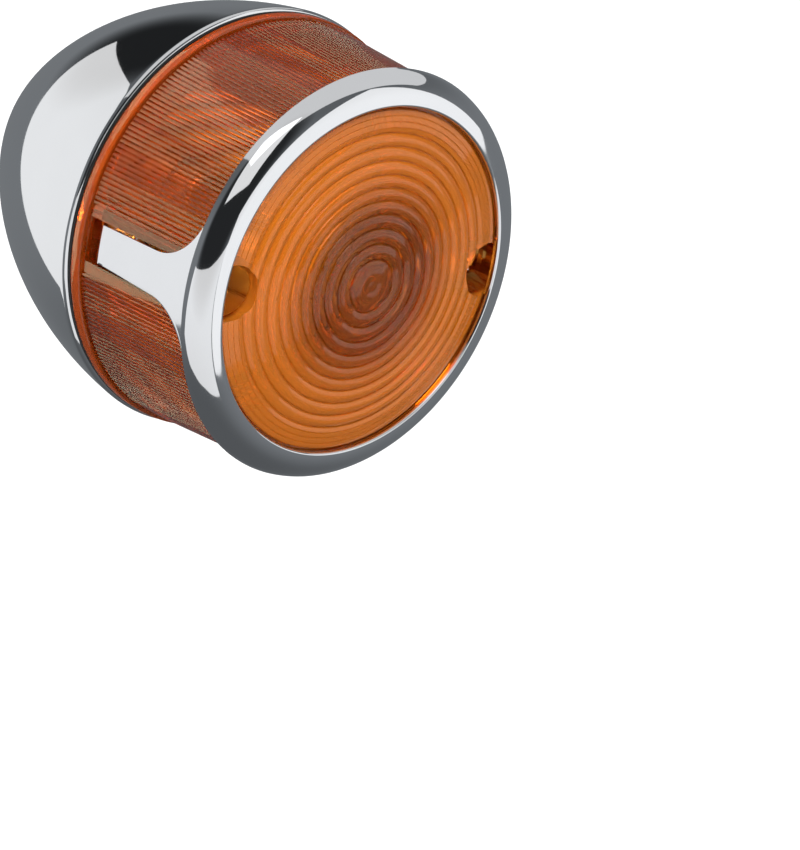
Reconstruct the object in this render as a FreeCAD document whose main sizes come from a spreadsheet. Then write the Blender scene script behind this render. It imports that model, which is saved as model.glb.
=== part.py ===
import FreeCAD, Part
import math
import os

import Sketcher

# Round turn signal indicator, in millimetres. Lamp parts are drawn about the lamp axis, with y = 0 at the
# front of the trim ring and +y towards the nose. Mount parts are drawn about the stud axis, with x
# measured from the lamp axis. Placements then put the origin on the stud's free thread.

os.makedirs("parts", exist_ok=True)
doc = FreeCAD.newDocument("turn_signal")
sheet = doc.addObject("Spreadsheet::Sheet", "d")

DIMENSIONS = [
    ("running_gap", 0.05, "radial clearance of a running fit"),
    # stud, ball joint and neck, x from the lamp axis
    ("stud_y", 58.0, "distance of the stud axis behind the ring front"),
    ("ball_x", 43.0, "ball centre"),
    ("ball_r", 7.5, "ball radius"),
    ("stud_neck_r", 3.6, "stud between ball and shoulder"),
    ("stud_bore_r", 1.9, "wire bore through the stud"),
    ("shoulder_x", 53.0, "start of the shoulder"),
    ("shoulder_len", 2.5, "shoulder thickness"),
    ("shoulder_r", 7.6, "shoulder radius"),
    ("shoulder_flat", 13.0, "distance across the shoulder's wrench flats"),
    ("thread_r", 4.0, "thread major radius"),
    ("nut_x", 55.9, "inner face of the jam nut"),
    ("nut_len", 4.6, "jam nut thickness"),
    ("nut_flats", 13.0, "jam nut across flats"),
    ("washer_len", 0.7, "star washer thickness"),
    ("washer_r", 7.4, "star washer radius"),
    ("origin_x", 61.4, "start of the free thread"),
    ("relief_r", 3.35, "groove between the nut's thread and the free thread"),
    ("stud_end_x", 73.0, "end of the stud"),
    ("neck_r", 11.0, "housing neck radius"),
    ("neck_in_x", 29.5, "inner face of the neck pad"),
    ("neck_end_x", 47.0, "outer face of the neck"),
    ("seat_x", 35.2, "bottom of the seat bore"),
    ("seat_bore_r", 8.6, "seat bore radius"),
    ("seat_len", 5.6, "ball seat length"),
    ("wire_hole_r", 3.2, "wire hole from the neck into the shell"),
    ("grommet_r", 4.9, "grommet flange radius"),
    ("cap_r", 13.0, "clamp cap radius"),
    ("cap_x", 41.2, "open end of the clamp cap"),
    ("cap_end_x", 49.6, "closed end of the clamp cap"),
    ("cap_mouth_r", 5.2, "smallest radius of the clamp cap's mouth"),
    ("set_screw_r", 1.5, "set screw radius"),
    # housing
    ("rim_y", 36.3, "front face of the housing rim"),
    ("rim_r", 41.9, "housing radius at the rim"),
    ("ogive_r", 89.0, "radius of the housing's side arc"),
    ("ogive_slope", 6.8, "slope of the side arc at the rim, degrees"),
    ("nose_r", 23.0, "radius of the housing's nose"),
    ("shell_t", 2.4, "housing wall"),
    ("rim_in_r", 38.3, "opening in the housing rim"),
    ("post_at", 32.0, "lens screw distance from the lamp axis"),
    ("post_r", 4.6, "lens screw post radius"),
    ("post_y", 32.65, "front face of the lens screw posts"),
    ("tap_r", 2.1, "tapped hole radius"),
    ("tap_depth", 13.0, "depth of the lens screw holes"),
    ("lug_at", 32.2, "reflector screw distance from the lamp axis"),
    ("lug_r", 3.6, "reflector lug radius"),
    ("lug_y", 40.0, "front face of the reflector lugs"),
    ("lug_tap_r", 1.3, "tapped hole in a lug"),
    # gasket and reflector
    ("gasket_y", 35.65, "front face of the gasket"),
    ("gasket_in_r", 38.3, "gasket inner radius"),
    ("gasket_out_r", 41.2, "gasket outer radius"),
    ("sheet_t", 0.8, "reflector sheet"),
    ("reflector_r", 35.4, "reflector outer radius"),
    ("bowl_r", 27.5, "reflector bowl mouth radius"),
    ("bowl_depth", 12.4, "reflector bowl depth"),
    ("collar_r", 9.0, "hole in the reflector for the socket"),
    ("notch_r", 5.2, "notch in the reflector round each lens post"),
    # lens
    ("dome_y", -2.2, "front of the lens at its centre"),
    ("dome_k", 0.0029, "lens dome, y per radius squared"),
    ("ring_step", 0.34, "depth of the lens rings"),
    ("lens_t", 2.3, "lens wall"),
    ("lens_front_r", 38.5, "lens side radius just behind the ring"),
    ("lens_rear_r", 40.35, "lens side radius just before its flange"),
    ("flute_depth", 0.30, "depth of the lens's side flutes"),
    ("flute_count", 270, "flutes in a full turn"),
    ("strip_half", 6.5, "half width of the plain strip round each side slot"),
    ("flange_y", 33.3, "front of the lens flange"),
    ("flange_end_y", 35.6, "rear of the lens flange"),
    ("flange_r", 41.3, "lens flange radius"),
    ("spigot_r", 38.0, "lens spigot radius"),
    ("spigot_y", 38.4, "rear of the lens spigot"),
    ("well_r", 5.4, "lens screw well radius"),
    ("well_wall_r", 6.6, "outside radius of the well"),
    ("floor_y", 30.15, "floor of the lens screw wells"),
    ("floor_end_y", 32.6, "rear of the well floors"),
    ("slot_half", 4.3, "half width of the lens's side slots"),
    ("slot_y", 9.0, "front end of the side slots"),
    # trim ring
    ("ring_in_r", 33.9, "opening of the trim ring"),
    ("ring_top_r", 34.4, "foremost radius of the trim ring"),
    ("bezel_r", 6.3, "radius of the trim ring's rounded face"),
    ("ring_r", 40.25, "trim ring outside radius"),
    ("ring_y", 4.3, "rear edge of the trim ring"),
    ("ring_t", 0.9, "trim ring sheet"),
    ("leg_half", 3.7, "leg half width at its end"),
    ("leg_root", 4.15, "leg half width where the flare starts"),
    ("flare_r", 10.0, "flare radius at the leg's root"),
    ("leg_y", 30.1, "rear face of the leg's tab"),
    ("tab_hole_r", 2.3, "hole in the tab"),
    # lens screws
    ("lens_screw_r", 2.05, "lens screw radius"),
    ("lens_screw_head_r", 3.6, "lens screw head radius"),
    ("lens_screw_head", 2.4, "lens screw head height"),
    ("lens_screw_len", 14.0, "lens screw length under the head"),
    ("flat_washer_r", 4.1, "lens screw washer radius"),
    ("flat_washer_t", 0.7, "lens screw washer thickness"),
    # socket
    ("shell_in_r", 7.75, "socket bore radius"),
    ("shell_out_r", 8.4, "socket outside radius"),
    ("shell_y", 46.5, "front rim of the socket"),
    ("shell_end_y", 76.0, "rear end of the socket"),
    ("socket_flange_r", 14.0, "socket flange radius"),
    ("rivet_at", 11.4, "rivet distance from the lamp axis"),
    ("back_t", 2.2, "socket back thickness"),
    ("plate_y", 65.2, "front face of the contact plate"),
    ("plate_t", 2.2, "contact plate thickness"),
    ("press_travel", 2.4, "travel of the bulb and contact plate"),
    ("pip_r", 1.5, "contact pip radius"),
    ("pip_at", 3.3, "contact pip distance from the axis"),
    ("pip_h", 0.9, "contact pip height"),
    ("coil_r", 6.3, "contact spring radius"),
    ("coil_wire_r", 0.4, "contact spring wire radius"),
    ("coil_turns", 4, "contact spring turns"),
    # bulb
    ("glass_r", 13.2, "bulb radius"),
    ("glass_y", 29.2, "bulb centre"),
    ("glass_neck_r", 6.7, "radius of the glass in the base"),
    ("glass_t", 0.7, "bulb wall"),
    ("base_r", 7.6, "bulb base radius"),
    ("base_y", 45.2, "front edge of the bulb base"),
    ("base_end_y", 62.6, "rear of the bulb base"),
    ("base_t", 0.5, "bulb base wall"),
    ("pin_r", 1.05, "bayonet pin radius"),
    ("pin_tip_r", 8.8, "reach of the bayonet pins from the axis"),
    ("pin_y", 56.2, "bayonet pin position"),
    ("twist", 22.0, "bulb twist, degrees"),
]

for row, (name, value, note) in enumerate(DIMENSIONS, start=1):
    sheet.set(f"A{row}", name)
    sheet.set(f"B{row}", str(value))
    sheet.setAlias(f"B{row}", name)
    sheet.set(f"C{row}", note)
doc.recompute()

Vector = FreeCAD.Vector
EXPORTED = []


def number(expression):
    """The value of an expression of the sheet's dimensions."""
    result = sheet.evalExpression(expression)
    return float(getattr(result, "Value", result))


def place(obj, axis):
    """Bind a sub-part's placement: about the lamp axis or about the stud axis."""
    obj.setExpression("Placement.Base.x", "-d.origin_x")
    obj.setExpression("Placement.Base.y", "-d.stud_y" if axis == "lamp" else "0")


def export(obj, label, axis="lamp"):
    """Name a finished sub-part, place it and list it for export."""
    obj.Label = label
    place(obj, axis)
    EXPORTED.append(obj)
    return obj


def new_body(name):
    return doc.addObject("PartDesign::Body", name)


def new_sketch(body, name, role, offset=None):
    """A sketch on one of the body's origin planes, moved along the plane's normal."""
    sketch = body.newObject("Sketcher::SketchObject", name)
    plane = next(item for item in body.Origin.OriginFeatures if item.Role == role)
    sketch.AttachmentSupport = [(plane, "")]
    sketch.MapMode = "FlatFace"
    if offset is not None:
        sketch.setExpression("AttachmentOffset.Base.z", offset)
    return sketch


def fix_point(sketch, geo, pos, x_text, y_text):
    """Bind one vertex to two expressions; None leaves that coordinate to the rest of the outline."""
    for text, kind, axis_geo in ((x_text, "DistanceX", -2), (y_text, "DistanceY", -1)):
        if text is None:
            continue
        if text == "0":
            sketch.addConstraint(Sketcher.Constraint("PointOnObject", geo, pos, axis_geo))
            continue
        index = sketch.addConstraint(Sketcher.Constraint(kind, geo, pos, number(text)))
        sketch.setExpression(f"Constraints[{index}]", text)


def outline(sketch, points):
    """A closed outline. Each point is (x, y) or (x, y, arc), where arc = (cx, cy, turn, free) bends the
    side that follows: turn is +1 anticlockwise or -1 clockwise, and free names the next point's loose
    coordinate."""
    count = len(points)
    spots = [Vector(number(p[0]), number(p[1]), 0) for p in points]
    ends = []
    for i, point in enumerate(points):
        here, there = spots[i], spots[(i + 1) % count]
        if len(point) == 2:
            ends.append((sketch.addGeometry(Part.LineSegment(here, there)), 1, 2))
            continue
        middle = Vector(number(point[2][0]), number(point[2][1]), 0)
        first, last = (here, there) if point[2][2] > 0 else (there, here)
        start = math.atan2(first.y - middle.y, first.x - middle.x)
        stop = math.atan2(last.y - middle.y, last.x - middle.x)
        circle = Part.Circle(middle, Vector(0, 0, 1), (here - middle).Length)
        geo = sketch.addGeometry(Part.ArcOfCircle(circle, start, stop))
        ends.append((geo, 1, 2) if point[2][2] > 0 else (geo, 2, 1))
    for i in range(count):
        geo, _, tail = ends[i]
        after, head, _ = ends[(i + 1) % count]
        sketch.addConstraint(Sketcher.Constraint("Coincident", geo, tail, after, head))
    for i, point in enumerate(points):
        before = points[i - 1]
        free = before[2][3] if len(before) == 3 else ""
        geo, head, _ = ends[i]
        fix_point(sketch, geo, head, None if free == "x" else point[0], None if free == "y" else point[1])
        if len(point) == 3:
            fix_point(sketch, geo, 3, point[2][0], point[2][1])


def circle(sketch, x_text, y_text, r_text):
    centre = Vector(number(x_text), number(y_text), 0)
    geo = sketch.addGeometry(Part.Circle(centre, Vector(0, 0, 1), number(r_text)))
    fix_point(sketch, geo, 3, x_text, y_text)
    index = sketch.addConstraint(Sketcher.Constraint("Radius", geo, number(r_text)))
    sketch.setExpression(f"Constraints[{index}]", r_text)


def revolve(body, name, points, axis="V_Axis", kind="PartDesign::Revolution"):
    """Turn an outline drawn on the XY plane about the sketch's vertical (Y) or horizontal (X) axis."""
    sketch = new_sketch(body, name + "_sketch", "XY_Plane")
    outline(sketch, points)
    feature = body.newObject(kind, name)
    feature.Profile = sketch
    feature.ReferenceAxis = (sketch, [axis])
    feature.Angle = 360
    sketch.Visibility = False
    doc.recompute()
    return feature


def pad(body, name, sketch, length, reverse=False, kind="PartDesign::Pad"):
    feature = body.newObject(kind, name)
    feature.Profile = sketch
    feature.Type = "Length"
    feature.setExpression("Length", length)
    feature.Reversed = reverse
    sketch.Visibility = False
    doc.recompute()
    return feature


def through(body, name, sketch):
    """A pocket through everything on both sides of its sketch."""
    feature = body.newObject("PartDesign::Pocket", name)
    feature.Profile = sketch
    feature.Type = "ThroughAll"
    feature.Midplane = True
    sketch.Visibility = False
    doc.recompute()
    return feature


def dress(body, name, kind, size, wanted):
    """Fillet or chamfer the tip's edges for which wanted(edge) holds."""
    tip = body.Tip
    names = [f"Edge{i}" for i, edge in enumerate(tip.Shape.Edges, start=1) if wanted(edge)]
    feature = body.newObject(kind, name)
    feature.Base = (tip, names)
    if kind.endswith("Fillet"):
        feature.Radius = size
    else:
        feature.Size = size
    doc.recompute()
    return feature


def ring_edge(radius, along, axis):
    """True for a full circle of that radius whose centre lies at that distance along x, y or z."""
    def wanted(edge):
        if edge.Curve.TypeId != "Part::GeomCircle" or not edge.Closed:
            return False
        centre = edge.Curve.Center[axis]
        return abs(edge.Curve.Radius - radius) < 0.01 and abs(centre - along) < 0.01
    return wanted


def cylinder(name, radius, height, x="0", y="0", z="0", axis="y"):
    """A Part cylinder along an axis, starting at the given point."""
    obj = doc.addObject("Part::Cylinder", name)
    obj.setExpression("Radius", radius)
    obj.setExpression("Height", height)
    turn = {"x": FreeCAD.Rotation(Vector(0, 1, 0), 90), "y": FreeCAD.Rotation(Vector(1, 0, 0), -90)}
    obj.Placement.Rotation = turn.get(axis, FreeCAD.Rotation())
    obj.setExpression("Placement.Base.x", x)
    obj.setExpression("Placement.Base.y", y)
    obj.setExpression("Placement.Base.z", z)
    return obj


def box(name, low, size):
    """A Part box from its low corner and its three sizes."""
    obj = doc.addObject("Part::Box", name)
    for key, text in zip(("Length", "Width", "Height"), size):
        obj.setExpression(key, text)
    for key, text in zip("xyz", low):
        obj.setExpression("Placement.Base." + key, text)
    return obj


def boolean(kind, name, shapes):
    obj = doc.addObject("Part::" + kind, name)
    if kind == "Cut":
        obj.Base, obj.Tool = shapes
    else:
        obj.Shapes = shapes
    doc.recompute()
    return obj


# ---------------------------------------------------------------- mounting stud, washer and nut

stud = new_body("stud")
ball_join = "d.ball_x + sqrt(d.ball_r^2 - d.stud_neck_r^2)"
ball_open = "d.ball_x - sqrt(d.ball_r^2 - d.stud_bore_r^2)"
revolve(stud, "stud_turned", [
    (ball_open, "d.stud_bore_r", ("d.ball_x", "0", -1, "x")),
    (ball_join, "d.stud_neck_r"),
    ("d.shoulder_x", "d.stud_neck_r"),
    ("d.shoulder_x", "d.shoulder_r"),
    ("d.shoulder_x + d.shoulder_len", "d.shoulder_r"),
    ("d.shoulder_x + d.shoulder_len", "d.thread_r"),
    ("d.nut_x + d.nut_len", "d.thread_r"),
    ("d.nut_x + d.nut_len", "d.relief_r"),
    ("d.origin_x", "d.relief_r"),
    ("d.origin_x", "d.thread_r"),
    ("d.stud_end_x - 0.8", "d.thread_r"),
    ("d.stud_end_x", "d.thread_r - 0.8"),
    ("d.stud_end_x", "d.stud_bore_r"),
], "H_Axis")
flats = new_sketch(stud, "stud_flats_sketch", "YZ_Plane", "d.shoulder_x - 0.2")
for side in ("", "-"):
    low, high = f"{side}(d.shoulder_flat / 2)", f"{side}(d.shoulder_r + 1)"
    outline(flats, [
        ("-d.shoulder_r", low), ("d.shoulder_r", low), ("d.shoulder_r", high), ("-d.shoulder_r", high),
    ])
pad(stud, "stud_flats", flats, "d.shoulder_len + 0.4", True, "PartDesign::Pocket")
export(stud, "mount_stud", "stud")

nut = new_body("nut")
hexagon = new_sketch(nut, "nut_sketch", "YZ_Plane", "d.nut_x")
corner_r = "d.nut_flats / 2 / cos(30)"
corners = [(f"{corner_r} * cos({60 * i + 30})", f"{corner_r} * sin({60 * i + 30})") for i in range(6)]
corners = [("0" if i in (1, 4) else x, y) for i, (x, y) in enumerate(corners)]
outline(hexagon, corners)
circle(hexagon, "0", "0", "d.thread_r + d.running_gap")
pad(nut, "nut_blank", hexagon, "d.nut_len")
nut_end = "d.nut_x + d.nut_len"
revolve(nut, "nut_corners_out", [
    (nut_end, "d.nut_flats / 2 - 0.1"),
    (nut_end, "d.nut_flats / 2 + 2"),
    (nut_end + " - 1.2", "d.nut_flats / 2 + 2"),
], "H_Axis", "PartDesign::Groove")
revolve(nut, "nut_corners_in", [
    ("d.nut_x", "d.nut_flats / 2 - 0.1"),
    ("d.nut_x", "d.nut_flats / 2 + 2"),
    ("d.nut_x + 1.2", "d.nut_flats / 2 + 2"),
], "H_Axis", "PartDesign::Groove")
export(nut, "jam_nut", "stud")

star = new_body("star")
star_sketch = new_sketch(star, "star_sketch", "YZ_Plane", "d.nut_x + d.nut_len + 0.02")
circle(star_sketch, "0", "0", "d.washer_r")
circle(star_sketch, "0", "0", "d.thread_r + 0.15")
pad(star, "star_blank", star_sketch, "d.washer_len")
star_notch = new_sketch(star, "star_notch_sketch", "YZ_Plane")
outline(star_notch, [
    ("d.washer_r - 1.7", "-0.35"),
    ("d.washer_r + 1", "-0.75"),
    ("d.washer_r + 1", "0.75"),
    ("d.washer_r - 1.7", "0.35"),
])
notch = through(star, "star_notch", star_notch)
star_turn = star.newObject("PartDesign::PolarPattern", "star_teeth")
star_turn.Originals = [notch]
star_turn.Axis = (star_sketch, ["N_Axis"])
star_turn.Angle = 360
star_turn.Occurrences = 12
star.Tip = star_turn
doc.recompute()
export(star, "star_washer", "stud")

# ---------------------------------------------------------------- ball seat and clamp cap

seat = new_body("seat")
seat_ball = "(d.ball_r + d.running_gap)"
seat_end = "(d.seat_x + 0.1 + d.seat_len)"
revolve(seat, "seat_turned", [
    ("d.seat_x + 0.1", "d.wire_hole_r + 0.6"),
    ("d.seat_x + 0.1", "d.seat_bore_r - 0.6"),
    ("d.seat_x + 0.7", "d.seat_bore_r - d.running_gap"),
    (seat_end, "d.seat_bore_r - d.running_gap"),
    (seat_end, f"sqrt({seat_ball}^2 - ({seat_end} - d.ball_x)^2)", ("d.ball_x", "0", 1, "x")),
    (f"d.ball_x - sqrt({seat_ball}^2 - (d.wire_hole_r + 0.6)^2)", "d.wire_hole_r + 0.6"),
], "H_Axis")
export(seat, "ball_seat", "stud")

cap = new_body("cap")
cap_ball = "(d.ball_r + 0.08)"
cap_wide = "(d.ball_r - 0.9)"
revolve(cap, "cap_turned", [
    ("d.cap_x", "d.neck_r + d.running_gap"),
    ("d.cap_x", "d.cap_r - 0.5"),
    ("d.cap_x + 0.5", "d.cap_r"),
    ("d.cap_end_x - 2.2", "d.cap_r"),
    ("d.cap_end_x", "d.cap_r - 3.2"),
    ("d.cap_end_x", "d.cap_mouth_r + 0.5"),
    (f"d.ball_x + sqrt({cap_ball}^2 - d.cap_mouth_r^2)", "d.cap_mouth_r", ("d.ball_x", "0", 1, "x")),
    (f"d.ball_x + sqrt({cap_ball}^2 - {cap_wide}^2)", cap_wide),
    (f"d.neck_end_x + 0.1", "d.neck_r - 2.4"),
    (f"d.neck_end_x + 0.1", "d.neck_r + d.running_gap"),
], "H_Axis")
grip = new_sketch(cap, "cap_grip_sketch", "YZ_Plane", "d.cap_x - 0.1")
circle(grip, "d.cap_r + 0.75", "0", "1.5")
grip_cut = pad(cap, "cap_grip", grip, "d.cap_end_x - d.cap_x - 2.6", True, "PartDesign::Pocket")
grip_turn = cap.newObject("PartDesign::PolarPattern", "cap_grips")
grip_turn.Originals = [grip_cut]
grip_turn.Axis = (grip, ["N_Axis"])
grip_turn.Angle = 360
grip_turn.Occurrences = 12
cap.Tip = grip_turn
doc.recompute()
hole = new_sketch(cap, "cap_screw_sketch", "XY_Plane")
circle(hole, "d.cap_x + 3", "0", "d.set_screw_r + d.running_gap")
pad(cap, "cap_screw_hole", hole, "d.cap_r + 1", True, "PartDesign::Pocket")
export(cap, "clamp_cap", "stud")

lock = new_body("lock")
lock_sketch = new_sketch(lock, "lock_sketch", "XY_Plane", "d.neck_r + 0.08")
circle(lock_sketch, "d.cap_x + 3", "0", "d.set_screw_r")
pad(lock, "lock_blank", lock_sketch, "d.cap_r - d.neck_r - 0.5")
lock_key = new_sketch(lock, "lock_key_sketch", "XY_Plane", "d.cap_r - 0.42")
outline(lock_key, [
    (f"d.cap_x + 3 + 0.8 * cos({60 * i + 30})", f"0.8 * sin({60 * i + 30})") for i in range(6)
])
pad(lock, "lock_key", lock_key, "1.1", False, "PartDesign::Pocket")
export(lock, "cap_set_screw", "stud")

# ---------------------------------------------------------------- housing

# Both arcs of the bullet share the slope where they meet, so the nose centre follows from the side arc.
front_y = "(d.rim_y + 0.6)"
ogive_y = f"({front_y} - d.ogive_r * sin(d.ogive_slope))"
ogive_c = "(d.rim_r - d.ogive_r * cos(d.ogive_slope))"
meet = f"acos(-{ogive_c} / (d.ogive_r - d.nose_r))"
nose_y = f"({ogive_y} + (d.ogive_r - d.nose_r) * sin({meet}))"


def bullet(inset, front):
    """The housing's outline, moved inwards by inset, from a front plane to the nose."""
    side = f"(d.ogive_r - {inset})"
    tip = f"(d.nose_r - {inset})"
    start = f"({ogive_c} + sqrt({side}^2 - ({front} - {ogive_y})^2))"
    return [
        ("0", front),
        (start, front, (ogive_c, ogive_y, 1, "x")),
        (f"{ogive_c} + {side} * cos({meet})", f"{ogive_y} + {side} * sin({meet})", ("0", nose_y, 1, "y")),
        ("0", f"{nose_y} + {tip}"),
    ]


solid = new_body("bullet_outside")
revolve(solid, "bullet_outside_turned", bullet("0", front_y))
hollow = new_body("bullet_inside")
revolve(hollow, "bullet_inside_turned", bullet("d.shell_t", "(d.rim_y + 3)"))
rim = new_body("bullet_rim")
revolve(rim, "bullet_rim_turned", [
    ("d.rim_in_r", "d.rim_y"),
    ("d.rim_r - 0.7", "d.rim_y"),
    ("d.rim_r - 0.2", "d.rim_y + 0.25"),
    ("d.rim_r", "d.rim_y + 0.61"),
    ("d.rim_r - 0.4", "d.rim_y + 3.2"),
    ("d.rim_in_r", "d.rim_y + 3.2"),
])
doc.recompute()
mouth = cylinder("bullet_mouth", "d.rim_in_r", "6", y="d.rim_y - 1")
shell = boolean("Cut", "bullet_hollowed", [boolean("Cut", "bullet_shell", [solid, hollow]), mouth])
posts = []
for side, name in (("-", "left"), ("", "right")):
    depth = "30" if side else "16.5"
    posts.append(cylinder(f"post_{name}", "d.post_r", depth, x=f"{side}d.post_at", y="d.post_y"))
for side, name in (("", "top"), ("-", "bottom")):
    posts.append(cylinder(f"lug_{name}", "d.lug_r", "26", y="d.lug_y", z=f"{side}d.lug_at"))
# The posts run into the wall, so only what lies inside the bullet (or in front of it) is kept.
front = cylinder("post_room", "d.rim_in_r", "12", y="d.post_y - 1")
envelope = boolean("MultiFuse", "post_envelope", [solid, front])
kept = boolean("MultiCommon", "posts_trimmed", [boolean("MultiFuse", "posts", posts), envelope])
neck = cylinder("neck", "d.neck_r", "d.neck_end_x - d.neck_in_x", x="d.neck_in_x", y="d.stud_y", axis="x")
flare = doc.addObject("Part::Cone", "neck_flare")
flare.setExpression("Radius1", "d.neck_r + 2.4")
flare.setExpression("Radius2", "d.neck_r")
flare.setExpression("Height", "8")
flare.Placement.Rotation = FreeCAD.Rotation(Vector(0, 1, 0), 90)
flare.setExpression("Placement.Base.x", "d.neck_in_x - 0.7")
flare.setExpression("Placement.Base.y", "d.stud_y")
rough = boolean("MultiFuse", "housing_rough", [shell, rim, kept, neck, flare])
cuts = [
    cylinder("seat_bore", "d.seat_bore_r", "20", x="d.seat_x", y="d.stud_y", axis="x"),
    cylinder("wire_hole", "d.wire_hole_r", "8", x="d.neck_in_x - 2", y="d.stud_y", axis="x"),
    cylinder("grommet_recess", "d.grommet_r + 0.3", "3", x="d.neck_in_x - 3", y="d.stud_y", axis="x"),
]
for side, name in (("-", "left"), ("", "right")):
    cuts.append(cylinder(f"tap_{name}", "d.tap_r", "d.tap_depth + 1", x=f"{side}d.post_at", y="d.post_y - 1"))
for side, name in (("", "top"), ("-", "bottom")):
    cuts.append(cylinder(f"lug_tap_{name}", "d.lug_tap_r", "9", y="d.lug_y - 1", z=f"{side}d.lug_at"))
housing = boolean("Cut", "housing_cut", [rough, boolean("MultiFuse", "housing_cuts", cuts)])
export(housing, "housing")

# ---------------------------------------------------------------- gasket, grommet and reflector

gasket = new_body("gasket")
revolve(gasket, "gasket_turned", [
    ("d.gasket_in_r", "d.gasket_y"),
    ("d.gasket_out_r", "d.gasket_y"),
    ("d.gasket_out_r", "d.rim_y"),
    ("d.gasket_in_r", "d.rim_y"),
])
export(gasket, "lens_gasket")

grommet = new_body("grommet")
revolve(grommet, "grommet_turned", [
    ("d.neck_in_x - 1.6", "1.7"),
    ("d.neck_in_x - 1.6", "d.grommet_r - 0.7"),
    ("d.neck_in_x - 1.1", "d.grommet_r"),
    ("d.neck_in_x - 0.02", "d.grommet_r"),
    ("d.neck_in_x - 0.02", "d.wire_hole_r - 0.02"),
    ("d.seat_x - 0.4", "d.wire_hole_r - 0.02"),
    ("d.seat_x - 0.4", "1.7"),
], "H_Axis")
export(grommet, "wire_grommet", "stud")

reflector = new_body("reflector_blank")
bowl_y = "(d.lug_y + d.bowl_depth)"
revolve(reflector, "reflector_pressed", [
    ("d.reflector_r", "d.lug_y - d.sheet_t"),
    ("d.reflector_r", "d.lug_y"),
    ("d.bowl_r", "d.lug_y"),
    ("d.bowl_r * 0.86", "d.lug_y + d.bowl_depth * 0.42"),
    ("d.bowl_r * 0.66", "d.lug_y + d.bowl_depth * 0.80"),
    ("d.bowl_r * 0.52", bowl_y),
    ("d.collar_r", bowl_y),
    ("d.collar_r", bowl_y + " - d.sheet_t"),
    ("d.bowl_r * 0.54", bowl_y + " - d.sheet_t"),
    ("d.bowl_r * 0.69", "d.lug_y + d.bowl_depth * 0.75"),
    ("d.bowl_r * 0.90", "d.lug_y + d.bowl_depth * 0.36"),
    ("d.bowl_r + 1", "d.lug_y - d.sheet_t"),
])
notches = new_sketch(reflector, "reflector_notch_sketch", "XZ_Plane")
for side in ("-", ""):
    edge = f"{side}(d.post_at - 0.5)"
    far = f"{side}(d.reflector_r + 2)"
    outline(notches, [(edge, "-d.notch_r"), (far, "-d.notch_r"), (far, "d.notch_r"), (edge, "d.notch_r")])
    circle(notches, "0", f"{side}d.lug_at", "1.6")
through(reflector, "reflector_notches", notches)
well_notch = new_sketch(reflector, "reflector_well_sketch", "XZ_Plane")
for side in ("-", ""):
    circle(well_notch, f"{side}(d.post_at - 0.5)", "0", "d.notch_r")
through(reflector, "reflector_wells", well_notch)
rivet_holes = []
for side, name in (("-", "left"), ("", "right")):
    rivet_holes.append(cylinder(f"rivet_hole_{name}", "1.05", "8", x=f"{side}d.rivet_at", y=bowl_y + " - 3"))
rivet_tool = boolean("MultiFuse", "rivet_holes", rivet_holes)
export(boolean("Cut", "reflector_drilled", [reflector, rivet_tool]), "reflector")

for side, name in (("", "top"), ("-", "bottom")):
    screw = new_body(f"reflector_screw_{name}_body")
    shank = new_sketch(screw, f"shank_{name}_sketch", "XZ_Plane", "-(d.lug_y - d.sheet_t - 0.02)")
    circle(shank, "0", f"{side}d.lug_at", "1.25")
    pad(screw, f"shank_{name}", shank, "7.5", True)
    head = new_sketch(screw, f"head_{name}_sketch", "XZ_Plane", "-(d.lug_y - d.sheet_t - 0.02)")
    circle(head, "0", f"{side}d.lug_at", "2.7")
    pad(screw, f"head_{name}", head, "1.7")
    slot = new_sketch(screw, f"slot_{name}_sketch", "XZ_Plane", "-(d.lug_y - d.sheet_t - 1.72)")
    outline(slot, [
        ("-3.2", f"{side}d.lug_at - 0.35"), ("3.2", f"{side}d.lug_at - 0.35"),
        ("3.2", f"{side}d.lug_at + 0.35"), ("-3.2", f"{side}d.lug_at + 0.35"),
    ])
    pad(screw, f"slot_{name}", slot, "0.9", False, "PartDesign::Pocket")
    export(screw, f"reflector_screw_{name}")

# ---------------------------------------------------------------- socket

# Each bayonet slot is an L: a straight way in from the rim, then a window for the press and the twist.
socket = new_body("socket")
flange_y = "(d.lug_y + d.bowl_depth + 0.02)"
revolve(socket, "socket_drawn", [
    ("d.shell_in_r", "d.shell_y"),
    ("d.shell_out_r", "d.shell_y"),
    ("d.shell_out_r", flange_y),
    ("d.socket_flange_r", flange_y),
    ("d.socket_flange_r", flange_y + " + 0.8"),
    ("d.shell_out_r", flange_y + " + 0.8"),
    ("d.shell_out_r", "d.shell_end_y"),
    ("d.shell_in_r", "d.shell_end_y"),
])
window_low = "(d.pin_y - d.pin_r - 0.15)"
window_high = "(d.pin_y + d.pin_r + d.press_travel + 0.15)"
slots = doc.addObject("Part::Feature", "bayonet_slots")


def wedge(angle_from, angle_to, low, high):
    """A pie slice about the lamp axis between two angles, in degrees from +Z towards -X."""
    reach = 11.0
    steps = max(2, int(abs(angle_to - angle_from) / 6) + 1)
    rim_points = []
    for i in range(steps + 1):
        angle = math.radians(angle_from + (angle_to - angle_from) * i / steps)
        rim_points.append(Vector(-reach * math.sin(angle), low, reach * math.cos(angle)))
    start = Vector(0, low, 0)
    face = Part.Face(Part.makePolygon([start, *rim_points, start]))
    return face.extrude(Vector(0, high - low, 0))


pin_half = math.degrees((number("d.pin_r") + 0.2) / number("d.shell_in_r"))
pieces = []
for turn in (0, 180):
    far = turn + number("d.twist")
    pieces.append(wedge(turn - pin_half, far + pin_half, number(window_low), number(window_high)))
    pieces.append(wedge(far - pin_half, far + pin_half, number("d.shell_y") - 1, number(window_high)))
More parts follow.
